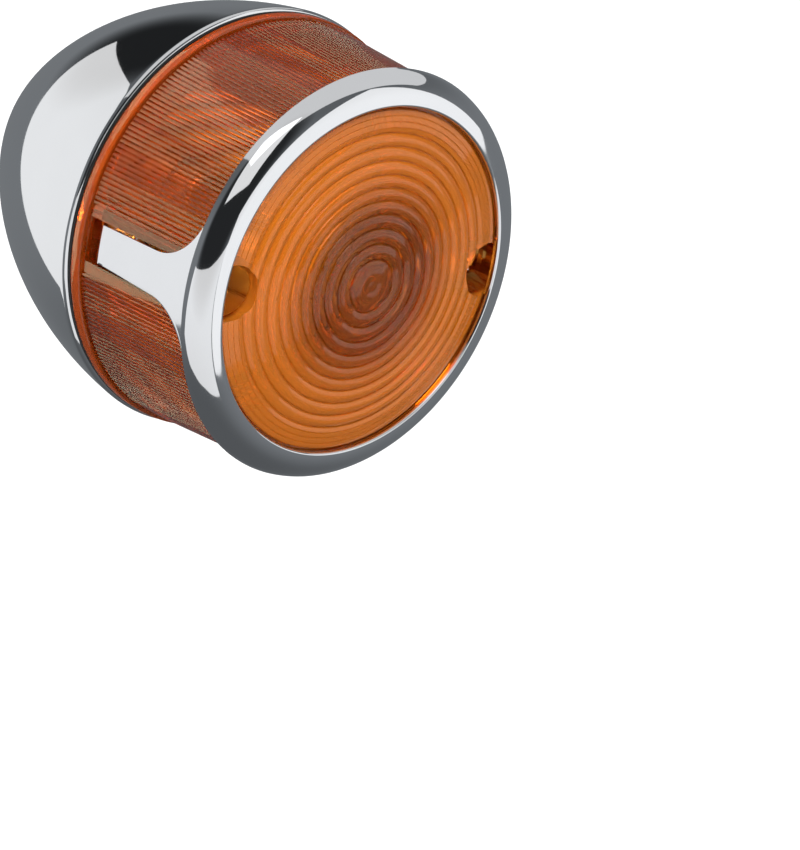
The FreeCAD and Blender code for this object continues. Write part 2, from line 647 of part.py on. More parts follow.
# the slots stop at the flange's front, so the flange stays whole behind the reflector
slots.Shape = pieces[0].fuse(pieces[1:])
guard = cylinder("flange_guard_out", "d.socket_flange_r + 1", "0.9", y=flange_y + " - 0.05")
guard_in = cylinder("flange_guard_in", "d.shell_out_r + 0.35", "2", y=flange_y + " - 0.5")
flange_guard = boolean("Cut", "flange_guard", [guard, guard_in])
slot_tool = boolean("Cut", "bayonet_slot_tool", [slots, flange_guard])
socket_cut = boolean("Cut", "socket_cut", [socket, slot_tool])
export(boolean("Cut", "socket_drilled", [socket_cut, rivet_tool]), "socket_shell")

for side, name in (("-", "left"), ("", "right")):
    rivet = new_body(f"rivet_{name}_body")
    stem = new_sketch(rivet, f"rivet_{name}_sketch", "XZ_Plane", f"-({bowl_y} - d.sheet_t - 0.5)")
    circle(stem, f"{side}d.rivet_at", "0", "1.04")
    pad(rivet, f"rivet_stem_{name}", stem, "d.sheet_t + 1.8", True)
    head_plane = f"-({bowl_y} - d.sheet_t - 0.01)"
    front_head = new_sketch(rivet, f"rivet_front_{name}_sketch", "XZ_Plane", head_plane)
    circle(front_head, f"{side}d.rivet_at", "0", "1.9")
    pad(rivet, f"rivet_front_{name}", front_head, "0.8")
    rear_head = new_sketch(rivet, f"rivet_rear_{name}_sketch", "XZ_Plane", f"-({flange_y} + 0.81)")
    circle(rear_head, f"{side}d.rivet_at", "0", "1.9")
    pad(rivet, f"rivet_rear_{name}", rear_head, "0.7", True)
    export(rivet, f"socket_rivet_{name}")

back = new_body("back")
back_y = "(d.shell_end_y - d.back_t)"
revolve(back, "back_turned", [
    ("0", back_y),
    ("d.shell_in_r - 0.01", back_y),
    ("d.shell_in_r - 0.01", "d.shell_end_y + 0.02"),
    ("d.shell_out_r", "d.shell_end_y + 0.02"),
    ("d.shell_out_r", "d.shell_end_y + 1.2"),
    ("0", "d.shell_end_y + 1.2"),
])
wires = new_sketch(back, "back_wires_sketch", "XZ_Plane")
for side in ("-", ""):
    circle(wires, f"{side}d.pip_at", "0", "1.2")
through(back, "back_wires", wires)
export(back, "socket_back")

terminal = new_body("terminal")
tab = new_sketch(terminal, "terminal_sketch", "XZ_Plane", f"-({flange_y} + 0.81)")
outline(tab, [("-2.4", "9.2"), ("2.4", "9.2"), ("2.4", "13.4"), ("-2.4", "13.4")])
pad(terminal, "terminal_foot", tab, "0.6", True)
blade = new_sketch(terminal, "terminal_blade_sketch", "XZ_Plane", f"-({flange_y} + 0.81)")
outline(blade, [("-2.4", "12.8"), ("2.4", "12.8"), ("2.4", "13.4"), ("-2.4", "13.4")])
pad(terminal, "terminal_blade", blade, "8", True)
export(terminal, "ground_terminal")

# ---------------------------------------------------------------- contact plate, pips and spring

plate = new_body("plate")
revolve(plate, "plate_turned", [
    ("0", "d.plate_y"),
    ("d.shell_in_r - 0.08", "d.plate_y"),
    ("d.shell_in_r - 0.08", "d.plate_y + d.plate_t"),
    ("0", "d.plate_y + d.plate_t"),
])
pip_holes = new_sketch(plate, "pip_hole_sketch", "XZ_Plane")
for side in ("-", ""):
    circle(pip_holes, f"{side}d.pip_at", "0", "d.pip_r - 0.5")
through(plate, "pip_holes", pip_holes)
export(plate, "contact_plate")

for side, name in (("-", "left"), ("", "right")):
    pip = new_body(f"pip_{name}_body")
    button = new_sketch(pip, f"pip_{name}_sketch", "XZ_Plane", "-(d.plate_y - 0.01)")
    circle(button, f"{side}d.pip_at", "0", "d.pip_r")
    pad(pip, f"pip_button_{name}", button, "d.pip_h")
    dress(pip, f"pip_round_{name}", "PartDesign::Fillet", 0.35,
          ring_edge(number("d.pip_r"), number("d.plate_y - 0.01 - d.pip_h"), 1))
    tail = new_sketch(pip, f"pip_tail_{name}_sketch", "XZ_Plane", "-(d.plate_y - 0.01)")
    circle(tail, f"{side}d.pip_at", "0", "d.pip_r - 0.51")
    pad(pip, f"pip_tail_{name}", tail, "d.plate_t + 0.9", True)
    export(pip, f"contact_pip_{name}")

# The coil is made of half turns, each a tilted half ring, so that every end meets the next one squarely.
coil_low = "(d.plate_y + d.plate_t + d.coil_wire_r + 0.05)"
coil_high = f"({back_y} - d.coil_wire_r - 0.05)"
rise = f"(({coil_high} - {coil_low}) / (2 * d.coil_turns))"
tilt = math.degrees(math.asin(number(rise) / 2 / number("d.coil_r")))
to_lamp_axis = FreeCAD.Rotation(Vector(1, 0, 0), -90)
half_turns = []
for i in range(2 * int(number("d.coil_turns"))):
    half = doc.addObject("Part::Torus", f"half_turn_{i}")
    half.setExpression("Radius1", "d.coil_r")
    half.setExpression("Radius2", "d.coil_wire_r")
    half.Angle3 = 180
    lean = FreeCAD.Rotation(Vector(0, 1, 0), tilt if i % 2 == 0 else -tilt)
    half.Placement.Rotation = to_lamp_axis * lean * FreeCAD.Rotation(Vector(0, 0, 1), 180 * (i % 2))
    half.setExpression("Placement.Base.y", f"{coil_low} + {rise} * {i + 0.5}")
    half_turns.append(half)
export(boolean("MultiFuse", "spring", half_turns), "contact_spring")

# ---------------------------------------------------------------- bulb

pins = new_body("base")
revolve(pins, "base_drawn", [
    ("d.glass_neck_r + 0.15", "d.base_y"),
    ("d.base_r", "d.base_y"),
    ("d.base_r", "d.base_end_y"),
    ("d.base_r - d.base_t", "d.base_end_y"),
    ("d.base_r - d.base_t", "d.base_y + 1.2"),
    ("d.glass_neck_r + 0.15", "d.base_y + 1.2"),
])
pin_sketch = new_sketch(pins, "pin_sketch", "XY_Plane", "d.base_r - d.base_t")
circle(pin_sketch, "0", "d.pin_y", "d.pin_r")
pad(pins, "pin_up", pin_sketch, "d.pin_tip_r - d.base_r + d.base_t")
pin_under = new_sketch(pins, "pin_under_sketch", "XY_Plane", "-(d.base_r - d.base_t)")
circle(pin_under, "0", "d.pin_y", "d.pin_r")
pad(pins, "pin_down", pin_under, "d.pin_tip_r - d.base_r + d.base_t", True)
export(pins, "bulb_base")

glass = new_body("glass")
neck_y = "(d.base_y + 7)"
shoulder = "sqrt(d.glass_r^2 - d.glass_neck_r^2)"
inner_r = "(d.glass_r - d.glass_t)"
inner_neck = "(d.glass_neck_r - d.glass_t)"
revolve(glass, "glass_blown", [
    ("0", "d.glass_y - d.glass_r", ("0", "d.glass_y", 1, "x")),
    ("d.glass_neck_r", f"d.glass_y + {shoulder}"),
    ("d.glass_neck_r", neck_y),
    (inner_neck, neck_y),
    (inner_neck, f"d.glass_y + sqrt({inner_r}^2 - {inner_neck}^2)", ("0", "d.glass_y", -1, "y")),
    ("0", f"d.glass_y - {inner_r}"),
])
export(glass, "bulb_glass")

stem_body = new_body("stem")
revolve(stem_body, "stem_pressed", [
    ("0", "d.base_y - 7"),
    ("1.6", "d.base_y - 7"),
    ("2.4", "d.base_y - 1"),
    ("5.6", "d.base_y + 6"),
    ("5.6", "d.base_y + 7"),
    ("0", "d.base_y + 7"),
])
export(stem_body, "bulb_stem")

BASE_TOP = number("d.base_y - 7")


def wire(points, radius):
    """A round wire through a list of points, with a sphere at each bend."""
    solids = []
    for first, last in zip(points, points[1:]):
        run = last - first
        solids.append(Part.makeCylinder(radius, run.Length, first, run))
    for point in points[1:-1]:
        solids.append(Part.makeSphere(radius, point))
    return solids[0].fuse(solids[1:]).removeSplitter()


def filament(name, label, span, height, offset):
    """Two lead wires standing on the stem with a coiled bar between them."""
    low = BASE_TOP - 0.03
    top = BASE_TOP - height
    rise = [Vector(1.1, low, offset * 0.4), Vector(1.1, low - 0.8, offset * 0.4)]
    right = rise + [Vector(span, low - 3, offset), Vector(span, top, offset)]
    left = [Vector(-point.x, point.y, point.z) for point in right]
    bar = [left[-1], Vector(0, top - 0.8, offset), right[-1]]
    body = wire(left, 0.28).fuse([wire(right, 0.28), wire(bar, 0.42)])
    obj = doc.addObject("Part::Feature", name)
    obj.Shape = body.removeSplitter()
    export(obj, label)


filament("filament_high", "filament_bright", 4.0, 9.0, 1.2)
filament("filament_low", "filament_dim", 3.2, 6.2, -1.6)

puck = new_body("puck")
revolve(puck, "puck_cast", [
    ("0", "d.base_end_y - 2.4"),
    ("d.base_r - d.base_t - 0.01", "d.base_end_y - 2.4"),
    ("d.base_r - d.base_t - 0.01", "d.base_end_y + 0.02"),
    ("d.base_r - 0.9", "d.base_end_y + 0.6"),
    ("0", "d.base_end_y + 0.6"),
])
export(puck, "bulb_insulator")
for side, name in (("-", "left"), ("", "right")):
    solder = new_body(f"solder_{name}_body")
    bead = new_sketch(solder, f"solder_{name}_sketch", "XZ_Plane", "-(d.base_end_y + 0.61)")
    circle(bead, f"{side}d.pip_at", "0", "1.7")
    pad(solder, f"solder_bead_{name}", bead, "d.plate_y - d.pip_h - d.base_end_y - 0.67", True)
    dress(solder, f"solder_round_{name}", "PartDesign::Fillet", 0.4,
          ring_edge(1.7, number("d.plate_y - d.pip_h - 0.06"), 1))
    export(solder, f"solder_contact_{name}")

# ---------------------------------------------------------------- lens

dome = "(d.dome_y + d.dome_k * {r}^2)"
RING_RADII = (5.2, 8.2, 11.2, 13.9, 16.4, 18.8, 21.2, 23.8, 26.4, 28.9)
face_points = [("0", dome.format(r="0"))]
for r in RING_RADII:
    face_points.append((f"{r - 0.22:.2f}", dome.format(r=f"{r - 0.22:.2f}")))
    face_points.append((f"{r:.2f}", dome.format(r=f"{r:.2f}") + " + d.ring_step"))
    face_points.append((f"{r + 0.10:.2f}", dome.format(r=f"{r + 0.10:.2f}")))
corner_y = "4.2"
lens_body = new_body("lens_turned_body")
revolve(lens_body, "lens_turned", face_points + [
    ("33.4", dome.format(r="33.4")),
    ("33.4", "1.9"),
    ("36.2", "1.9"),
    ("37.6", "2.7"),
    ("d.lens_front_r", corner_y),
    ("d.lens_rear_r", "d.flange_y"),
    ("d.flange_r - 0.4", "d.flange_y"),
    ("d.flange_r", "d.flange_y + 0.5"),
    ("d.flange_r", "d.flange_end_y - 0.3"),
    ("d.flange_r - 0.3", "d.flange_end_y"),
    ("d.spigot_r", "d.flange_end_y"),
    ("d.spigot_r", "d.spigot_y"),
    ("d.spigot_r - 1.8", "d.spigot_y"),
    ("d.lens_rear_r - d.lens_t - 1.7", "d.flange_y"),
    ("d.lens_front_r - d.lens_t", corner_y + " + 1.8"),
    ("34.6", "4.2"),
    ("26", "3.4"),
    ("19", "2.2"),
    ("10", "0.9"),
    ("0", "0.3"),
])


def fluted_skin():
    """A tapered tube, fluted outside except on the two plain side strips, to fuse on the lens's side."""
    flutes = int(number("d.flute_count"))
    depth = number("d.flute_depth")
    sink = 0.5
    rows = []
    for r_text, y in (("d.lens_front_r", number(corner_y)), ("d.lens_rear_r", number("d.flange_y") + 0.1)):
        base = number(r_text)
        plain = number("d.strip_half") / base
        points = []
        for i in range(2 * flutes):
            angle = math.pi * i / flutes
            off_side = abs(math.sin(angle))
            r = base + depth if i % 2 and off_side > math.sin(plain) else base + 0.02
            points.append(Vector(r * math.cos(angle), y, r * math.sin(angle)))
        ring = Part.makeCircle(base - sink, Vector(0, y, 0), Vector(0, 1, 0))
        rows.append((Part.makePolygon(points + points[:1]), Part.Wire(ring)))
    outside = Part.makeLoft([rows[0][0], rows[1][0]], True, True)
    inside = Part.makeLoft([rows[0][1], rows[1][1]], True, True)
    return outside.cut(inside)


skin = doc.addObject("Part::Feature", "lens_flutes")
skin.Shape = fluted_skin()
wall_len = "d.floor_end_y - 2.6"
well_walls = [cylinder(f"well_wall_{name}", "d.well_wall_r", wall_len, x=f"{side}d.post_at", y="2.6")
              for side, name in (("-", "left"), ("", "right"))]
lens_rough = boolean("MultiFuse", "lens_rough", [lens_body, skin, *well_walls])
lens_cuts = []
for side, name in (("-", "left"), ("", "right")):
    at = f"{side}d.post_at"
    lens_cuts.append(cylinder(f"well_{name}", "d.well_r", "d.floor_y + 6", x=at, y="-6"))
    lens_cuts.append(cylinder(f"floor_hole_{name}", "d.tap_r + 0.25", "8", x=at, y="d.floor_y - 2"))
    lens_cuts.append(cylinder(f"post_notch_{name}", "d.post_r + 0.3", "8", x=at, y="d.floor_end_y"))
    low_x = "-(d.post_at + 11)" if side else "d.post_at"
    size = ("11", "d.floor_y - d.slot_y", "2 * d.slot_half")
    lens_cuts.append(box(f"slot_{name}", (low_x, "d.slot_y", "-d.slot_half"), size))
    low_x = "-(d.post_at + 11)" if side else "d.post_at + 5.5"
    size = ("5.5", "d.floor_end_y - d.slot_y", "2 * d.slot_half")
    lens_cuts.append(box(f"slot_end_{name}", (low_x, "d.slot_y", "-d.slot_half"), size))
lens = boolean("Cut", "lens_cut", [lens_rough, boolean("MultiFuse", "lens_cuts", lens_cuts)])
export(lens, "lens")

# ---------------------------------------------------------------- trim ring

trim = new_body("trim")
face_r = "(d.bezel_r - d.ring_t)"
revolve(trim, "trim_bezel", [
    ("d.ring_in_r", "0.75"),
    ("d.ring_in_r + 0.1", "0.3"),
    ("d.ring_in_r + 0.27", "0.06"),
    ("d.ring_top_r", "0", ("d.ring_top_r", "d.bezel_r", 1, "y")),
    ("d.ring_r", "d.bezel_r - sqrt(d.bezel_r^2 - (d.ring_r - d.ring_top_r)^2)"),
    ("d.ring_r", "d.ring_y"),
    ("d.ring_r - d.ring_t", "d.ring_y"),
    ("d.ring_r - d.ring_t", f"d.bezel_r - sqrt({face_r}^2 - (d.ring_r - d.ring_t - d.ring_top_r)^2)",
     ("d.ring_top_r", "d.bezel_r", -1, "y")),
    ("d.ring_top_r", "d.ring_t"),
    ("d.ring_in_r + 0.5", "1.3"),
    ("d.ring_in_r", "1.3"),
])
revolve(trim, "trim_sleeve", [
    ("d.ring_r - d.ring_t", "d.ring_y - 0.6"),
    ("d.ring_r", "d.ring_y - 0.6"),
    ("d.ring_r", "d.leg_y - 0.6"),
    ("d.ring_r - 0.6", "d.leg_y"),
    ("d.ring_r - d.ring_t", "d.leg_y"),
])
waste = new_sketch(trim, "trim_waste_sketch", "YZ_Plane")
flare_end = "(d.ring_y + d.flare_r)"
for side in ("", "-"):
    turn = 1 if side else -1
    outline(waste, [
        (flare_end, f"{side}d.leg_root", (flare_end, f"{side}(d.leg_root + d.flare_r)", turn, "x")),
        ("d.ring_y", f"{side}(d.leg_root + d.flare_r)"),
        ("d.ring_y", f"{side}(d.ring_r + 2)"),
        ("d.leg_y + 2", f"{side}(d.ring_r + 2)"),
        ("d.leg_y + 2", f"{side}d.leg_half"),
        ("d.leg_y - 4", f"{side}d.leg_half"),
    ])
through(trim, "trim_legs", waste)
tabs = new_sketch(trim, "trim_tab_sketch", "XZ_Plane", "-(d.leg_y - d.ring_t)")
for side in ("-", ""):
    turn = -1 if side else 1
    outline(tabs, [
        (f"{side}(d.ring_r - 0.95)", "-d.leg_half"),
        (f"{side}(d.ring_r - 0.95)", "d.leg_half"),
        (f"{side}d.post_at", "d.leg_half", (f"{side}d.post_at", "0", turn, "y")),
        (f"{side}d.post_at", "-d.leg_half"),
    ])
pad(trim, "trim_tabs", tabs, "d.ring_t", True)
tab_holes = new_sketch(trim, "trim_hole_sketch", "XZ_Plane", "-(d.leg_y - 4)")
for side in ("-", ""):
    circle(tab_holes, f"{side}d.post_at", "0", "d.tab_hole_r")
pad(trim, "trim_holes", tab_holes, "6", False, "PartDesign::Pocket")
export(trim, "trim_ring")

# ---------------------------------------------------------------- lens screws and washers

tab_front = "(d.leg_y - d.ring_t)"
for side, name in (("-", "left"), ("", "right")):
    flat = new_body(f"flat_{name}_body")
    flat_sketch = new_sketch(flat, f"flat_{name}_sketch", "XZ_Plane", f"-({tab_front} - 0.02)")
    circle(flat_sketch, f"{side}d.post_at", "0", "d.flat_washer_r")
    circle(flat_sketch, f"{side}d.post_at", "0", "d.lens_screw_r + 0.1")
    pad(flat, f"flat_{name}", flat_sketch, "d.flat_washer_t")
    export(flat, f"lens_washer_{name}")

    head_y = f"({tab_front} - 0.04 - d.flat_washer_t)"
    bolt = new_body(f"lens_screw_{name}_body")
    bolt_shank = new_sketch(bolt, f"bolt_shank_{name}_sketch", "XZ_Plane", f"-{head_y}")
    circle(bolt_shank, f"{side}d.post_at", "0", "d.lens_screw_r")
    pad(bolt, f"bolt_shank_{name}", bolt_shank, "d.lens_screw_len", True)
    bolt_head = new_sketch(bolt, f"bolt_head_{name}_sketch", "XZ_Plane", f"-{head_y}")
    circle(bolt_head, f"{side}d.post_at", "0", "d.lens_screw_head_r")
    pad(bolt, f"bolt_head_{name}", bolt_head, "d.lens_screw_head")
    dress(bolt, f"bolt_round_{name}", "PartDesign::Fillet", 1.1,
          ring_edge(number("d.lens_screw_head_r"), number(head_y + " - d.lens_screw_head"), 1))
    dress(bolt, f"bolt_point_{name}", "PartDesign::Chamfer", 0.5,
          ring_edge(number("d.lens_screw_r"), number(head_y + " + d.lens_screw_len"), 1))
    cross_plane = f"-({head_y} - d.lens_screw_head - 0.1)"
    cross = new_sketch(bolt, f"bolt_cross_{name}_sketch", "XZ_Plane", cross_plane)
    arm, half = "1.9", "0.42"
    x = f"{side}d.post_at"
    outline(cross, [
        (f"{x} - {arm}", f"-{half}"), (f"{x} - {half}", f"-{half}"), (f"{x} - {half}", f"-{arm}"),
        (f"{x} + {half}", f"-{arm}"), (f"{x} + {half}", f"-{half}"), (f"{x} + {arm}", f"-{half}"),
        (f"{x} + {arm}", half), (f"{x} + {half}", half), (f"{x} + {half}", arm),
        (f"{x} - {half}", arm), (f"{x} - {half}", half), (f"{x} - {arm}", half),
    ])
    pad(bolt, f"bolt_cross_{name}", cross, "1.5", False, "PartDesign::Pocket")
    export(bolt, f"lens_screw_{name}")

# ---------------------------------------------------------------- checks and export

doc.recompute()
for item in doc.Objects:
    if "Invalid" in item.State or "Error" in item.State:
        raise RuntimeError(f"{item.Label} did not compute: {item.State}")
for item in EXPORTED:
    if item.Shape.isNull() or not item.Shape.isValid() or item.Shape.Volume < 0.01:
        raise RuntimeError(f"{item.Label} has no valid shape")
for item in EXPORTED:
    item.Shape.exportStep(os.path.join("parts", item.Label + ".step"))
print(len(EXPORTED), "sub-parts written")
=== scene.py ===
import math

import bmesh
import bpy
from mathutils import Matrix, Vector


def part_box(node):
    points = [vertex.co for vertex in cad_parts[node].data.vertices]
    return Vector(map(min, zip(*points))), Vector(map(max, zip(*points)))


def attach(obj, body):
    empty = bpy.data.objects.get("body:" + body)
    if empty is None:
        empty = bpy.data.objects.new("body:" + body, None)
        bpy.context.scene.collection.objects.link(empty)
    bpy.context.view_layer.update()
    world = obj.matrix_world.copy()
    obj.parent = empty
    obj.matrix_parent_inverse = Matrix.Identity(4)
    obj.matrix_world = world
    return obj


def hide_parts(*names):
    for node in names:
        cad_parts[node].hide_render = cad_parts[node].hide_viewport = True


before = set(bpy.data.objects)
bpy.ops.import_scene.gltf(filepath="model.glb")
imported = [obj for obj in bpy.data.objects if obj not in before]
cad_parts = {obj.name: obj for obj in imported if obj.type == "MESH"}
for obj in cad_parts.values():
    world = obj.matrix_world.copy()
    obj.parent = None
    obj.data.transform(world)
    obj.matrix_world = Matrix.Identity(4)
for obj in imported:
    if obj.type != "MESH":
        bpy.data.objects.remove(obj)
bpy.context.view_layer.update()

MM = 0.001
TAU = 2 * math.pi
SIDES = (-1, 1)

# Sizes are in mm. The lamp axis runs along +Y through the middle of the trim ring, and y = 0 is the
# ring's front. The stud axis runs along +X through the middle of the nut.
ring_low, ring_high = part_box("trim_ring")
AXIS_X = (ring_low[0] + ring_high[0]) / 2
AXIS_Z = (ring_low[2] + ring_high[2]) / 2
FRONT_Y = ring_low[1]
nut_low, nut_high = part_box("jam_nut")
STUD_Y = (nut_low[1] + nut_high[1]) / 2
STUD_Z = (nut_low[2] + nut_high[2]) / 2


def lamp(across, along, up):
    """A point about the lamp axis, along from the ring's front, in the row frame."""
    return Vector((AXIS_X + across * MM, FRONT_Y + along * MM, AXIS_Z + up * MM))


def on_stud(across, along, up):
    """A point about the stud axis, along from the lamp axis, in the row frame."""
    return Vector((AXIS_X + along * MM, STUD_Y + across * MM, STUD_Z + up * MM))


def middle(node):
    """The middle of a CAD node about the lamp axis, to a hundredth of a mm."""
    low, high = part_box(node)
    spot = (Vector(low) + Vector(high)) / 2 - lamp(0, 0, 0)
    return [round(value / MM, 2) for value in spot]


SCREW_X = middle("lens_screw_right")[0]
LUG_Z = middle("reflector_screw_top")[2]
RIVET_X = middle("socket_rivet_right")[0]

# ---------------------------------------------------------------- materials


class Nodes:
    """A material's node tree, with short calls for the nodes used here."""

    def __init__(self, name):
        self.material = bpy.data.materials.new(name)
        self.material.use_nodes = True
        self.tree = self.material.node_tree
        self.tree.nodes.clear()
        self.out = self.tree.nodes.new("ShaderNodeOutputMaterial")

    def add(self, kind, operation=None):
        """A node; operation is for the maths nodes."""
        node = self.tree.nodes.new("ShaderNode" + kind)
        if operation is not None:
            node.operation = operation
        return node

    def link(self, source, target):
        self.tree.links.new(source, target)

    def principled(self, **values):
        """A principled shader; each value is a socket's name with _ for a space."""
        shader = self.add("BsdfPrincipled")
        for key, value in values.items():
            shader.inputs[key.replace("_", " ")].default_value = value
        return shader

    def surface(self, shader):
        self.link(shader.outputs[0], self.out.inputs["Surface"])

    def noise(self, scale, detail=4.0, roughness=0.55, stretch=None):
        """Object-space noise, in patterns per metre."""
        coordinates = self.add("TexCoord").outputs["Object"]
        if stretch is not None:
            mapping = self.add("Mapping")
            mapping.inputs["Scale"].default_value = stretch
            self.link(coordinates, mapping.inputs["Vector"])
            coordinates = mapping.outputs["Vector"]
        texture = self.add("TexNoise")
        texture.inputs["Scale"].default_value = scale
        texture.inputs["Detail"].default_value = detail
        texture.inputs["Roughness"].default_value = roughness
        self.link(coordinates, texture.inputs["Vector"])
        return texture.outputs["Fac"]

    def ramp(self, source, stops):
        """A colour for each value; stops are (place, colour) pairs."""
        ramp = self.add("ValToRGB")
        elements = ramp.color_ramp.elements
        while len(elements) < len(stops):
            elements.new(0.5)
        for element, (place, colour) in zip(elements, stops):
            element.position = place
            element.color = (*colour, 1.0)
        self.link(source, ramp.inputs["Fac"])
        return ramp.outputs["Color"]

    def span(self, source, low, high, start=0.0, end=1.0):
        """The range from start to end becomes the range from low to high."""
        node = self.add("MapRange")
        node.inputs["From Min"].default_value = start
        node.inputs["From Max"].default_value = end
        node.inputs["To Min"].default_value = low
        node.inputs["To Max"].default_value = high
        self.link(source, node.inputs["Value"])
        return node.outputs["Result"]

    def bump(self, source, distance):
        """Relief, with the depth in metres."""
        node = self.add("Bump")
        node.inputs["Strength"].default_value = 1.0
        node.inputs["Distance"].default_value = distance
        self.link(source, node.inputs["Height"])
        return node.outputs["Normal"]


def metal(name, colour, rough, wear, grain=None, wave=None):
    """A metal with uneven gloss; grain = (scale, stretch, depth) roughens it, wave ripples a cast one."""
    nodes = Nodes(name)
    shader = nodes.principled(Metallic=1.0)
    nodes.surface(shader)
    darker = tuple(c * (1.0 - wear) for c in colour)
    tint = nodes.ramp(nodes.noise(70.0, 5.0), [(0.35, darker), (0.65, colour)])
    nodes.link(tint, shader.inputs["Base Color"])
    gloss = nodes.span(nodes.noise(260.0, 6.0), rough * 0.75, rough * 1.35, 0.3, 0.7)
    nodes.link(gloss, shader.inputs["Roughness"])
    if grain is not None:
        scale, stretch, depth = grain
        nodes.link(nodes.bump(nodes.noise(scale, 3.0, 0.6, stretch), depth), shader.inputs["Normal"])
    if wave is not None:
        nodes.link(nodes.bump(nodes.noise(55.0, 1.5, 0.4), wave), shader.inputs["Normal"])
    return nodes.material


def plastic(name, colour, rough, pit=0.00002, scale=900.0):
    """A moulded plastic or rubber with a pitted face."""
    nodes = Nodes(name)
    shader = nodes.principled(IOR=1.5)
    nodes.surface(shader)
    darker = tuple(c * 0.75 for c in colour)
    nodes.link(nodes.ramp(nodes.noise(120.0), [(0.3, darker), (0.7, colour)]), shader.inputs["Base Color"])
    grain = nodes.noise(scale, 6.0)
    nodes.link(nodes.span(grain, rough * 0.8, rough * 1.2, 0.3, 0.7), shader.inputs["Roughness"])
    nodes.link(nodes.bump(grain, pit), shader.inputs["Normal"])
    return nodes.material


def clear_shader(nodes, colour, rough, ior):
    """A clear shader with uneven gloss."""
    shader = nodes.principled(Base_Color=(*colour, 1.0), IOR=ior, Transmission_Weight=1.0)
    gloss = nodes.span(nodes.noise(180.0), rough * 0.7, rough * 1.4, 0.3, 0.7)
    nodes.link(gloss, shader.inputs["Roughness"])
    return shader


def glass(name, colour, rough, ior):
    """Clear glass."""
    nodes = Nodes(name)
    nodes.surface(clear_shader(nodes, colour, rough, ior))
    return nodes.material


def moulding(name, light_and_shade_zones, rough, ior, absorb, density):
    """A coloured clear moulding: clear, coloured by its thickness, with a little colour scattered back.
    Each zone is a place along the lamp axis, the scattered colour there and its share; over the bulb
    the share is smaller. The zones are painted light and shade: the golden front with its larger share
    is painted light, the deep red side with its small share is painted shade."""
    nodes = Nodes(name)
    place = nodes.add("VectorMath", "SUBTRACT")
    place.inputs[1].default_value = lamp(0, 0, 0)
    nodes.link(nodes.add("TexCoord").outputs["Object"], place.inputs[0])
    axes = nodes.add("SeparateXYZ")
    nodes.link(place.outputs["Vector"], axes.inputs["Vector"])
    along = nodes.span(axes.outputs["Y"], 0.0, 1.0, 0.0, ZONE_REACH * MM)
    # painted light and shade along the axis: a golden front with a larger share as painted light, a deep
    # red side with a small share as painted shade
    painted_light_colours = nodes.ramp(along, [(y / ZONE_REACH, colour) for y, colour, share in light_and_shade_zones])
    painted_light_shares = nodes.ramp(along, [(y / ZONE_REACH, (share,) * 3) for y, colour, share in light_and_shade_zones])
    flat = nodes.add("VectorMath", "MULTIPLY")
    flat.inputs[1].default_value = (1.0, 0.0, 1.0)
    nodes.link(place.outputs["Vector"], flat.inputs[0])
    from_axis = nodes.add("VectorMath", "LENGTH")
    nodes.link(flat.outputs["Vector"], from_axis.inputs[0])
    low, high = BULB_FADE
    over_bulb = nodes.span(from_axis.outputs["Value"], 0.2, 1.0, low * MM, high * MM)
    share = nodes.add("Math", "MULTIPLY")
    nodes.link(painted_light_shares, share.inputs[0])
    nodes.link(over_bulb, share.inputs[1])
    body = nodes.principled(Roughness=0.12, IOR=ior)
    nodes.link(painted_light_colours, body.inputs["Base Color"])
    mix = nodes.add("MixShader")
    nodes.link(share.outputs["Value"], mix.inputs["Fac"])
    nodes.link(clear_shader(nodes, (1.0, 0.97, 0.92), rough, ior).outputs["BSDF"], mix.inputs[1])
    nodes.link(body.outputs["BSDF"], mix.inputs[2])
    nodes.surface(mix)
    volume = nodes.add("VolumeAbsorption")
    volume.inputs["Color"].default_value = (*absorb, 1.0)
    volume.inputs["Density"].default_value = density
    nodes.link(volume.outputs["Volume"], nodes.out.inputs["Volume"])
    return nodes.material


EVEN = (1.0, 1.0, 1.0)
# the amber's painted light and shade: gold on the front is painted light, deep red on the side is painted
# shade, then orange at the flange
PAINTED_LIT_GOLD, PAINTED_SHADE_RED, ORANGE = (0.97, 0.27, 0.02), (0.63, 0.095, 0.006), (0.95, 0.17, 0.015)
AMBER_LIGHT_AND_SHADE_ZONES = ((2.0, PAINTED_LIT_GOLD, 0.30), (3.0, PAINTED_SHADE_RED, 0.11), (33.0, PAINTED_SHADE_RED, 0.11), (33.4, ORANGE, 0.15))
ZONE_REACH = 40.0
BULB_FADE = (13.0, 22.0)

chrome = metal("chrome_plate", (0.93, 0.935, 0.945), 0.035, 0.015, wave=0.000012)
trim_chrome = metal("trim_chrome_plate", (0.92, 0.925, 0.94), 0.045, 0.02, wave=0.000016)
amber = moulding("amber_moulding", AMBER_LIGHT_AND_SHADE_ZONES, 0.03, 1.49, (0.93, 0.66, 0.12), 800.0)
bulb_clear = glass("bulb_glass_clear", (0.99, 1.0, 1.0), 0.01, 1.45)
zinc = metal("bright_zinc", (0.70, 0.71, 0.72), 0.24, 0.12, grain=(700.0, EVEN, 0.00001))
black_oxide = metal("black_oxide", (0.06, 0.06, 0.065), 0.38, 0.2)
spring_wire = metal("spring_wire", (0.55, 0.55, 0.57), 0.3, 0.15)
brass = metal("plated_brass", (0.80, 0.72, 0.50), 0.2, 0.15, grain=(500.0, (1.0, 0.1, 1.0), 0.000012))
reflector_sheet = metal("reflector_sheet", (0.94, 0.94, 0.93), 0.55, 0.05, grain=(350.0, EVEN, 0.00001))
solder = metal("solder", (0.62, 0.63, 0.65), 0.35, 0.2, grain=(900.0, EVEN, 0.00003))
tungsten = metal("tungsten_wire", (0.35, 0.35, 0.37), 0.35, 0.2)
rubber = plastic("black_rubber", (0.022, 0.022, 0.024), 0.62, 0.00003, 1500.0)
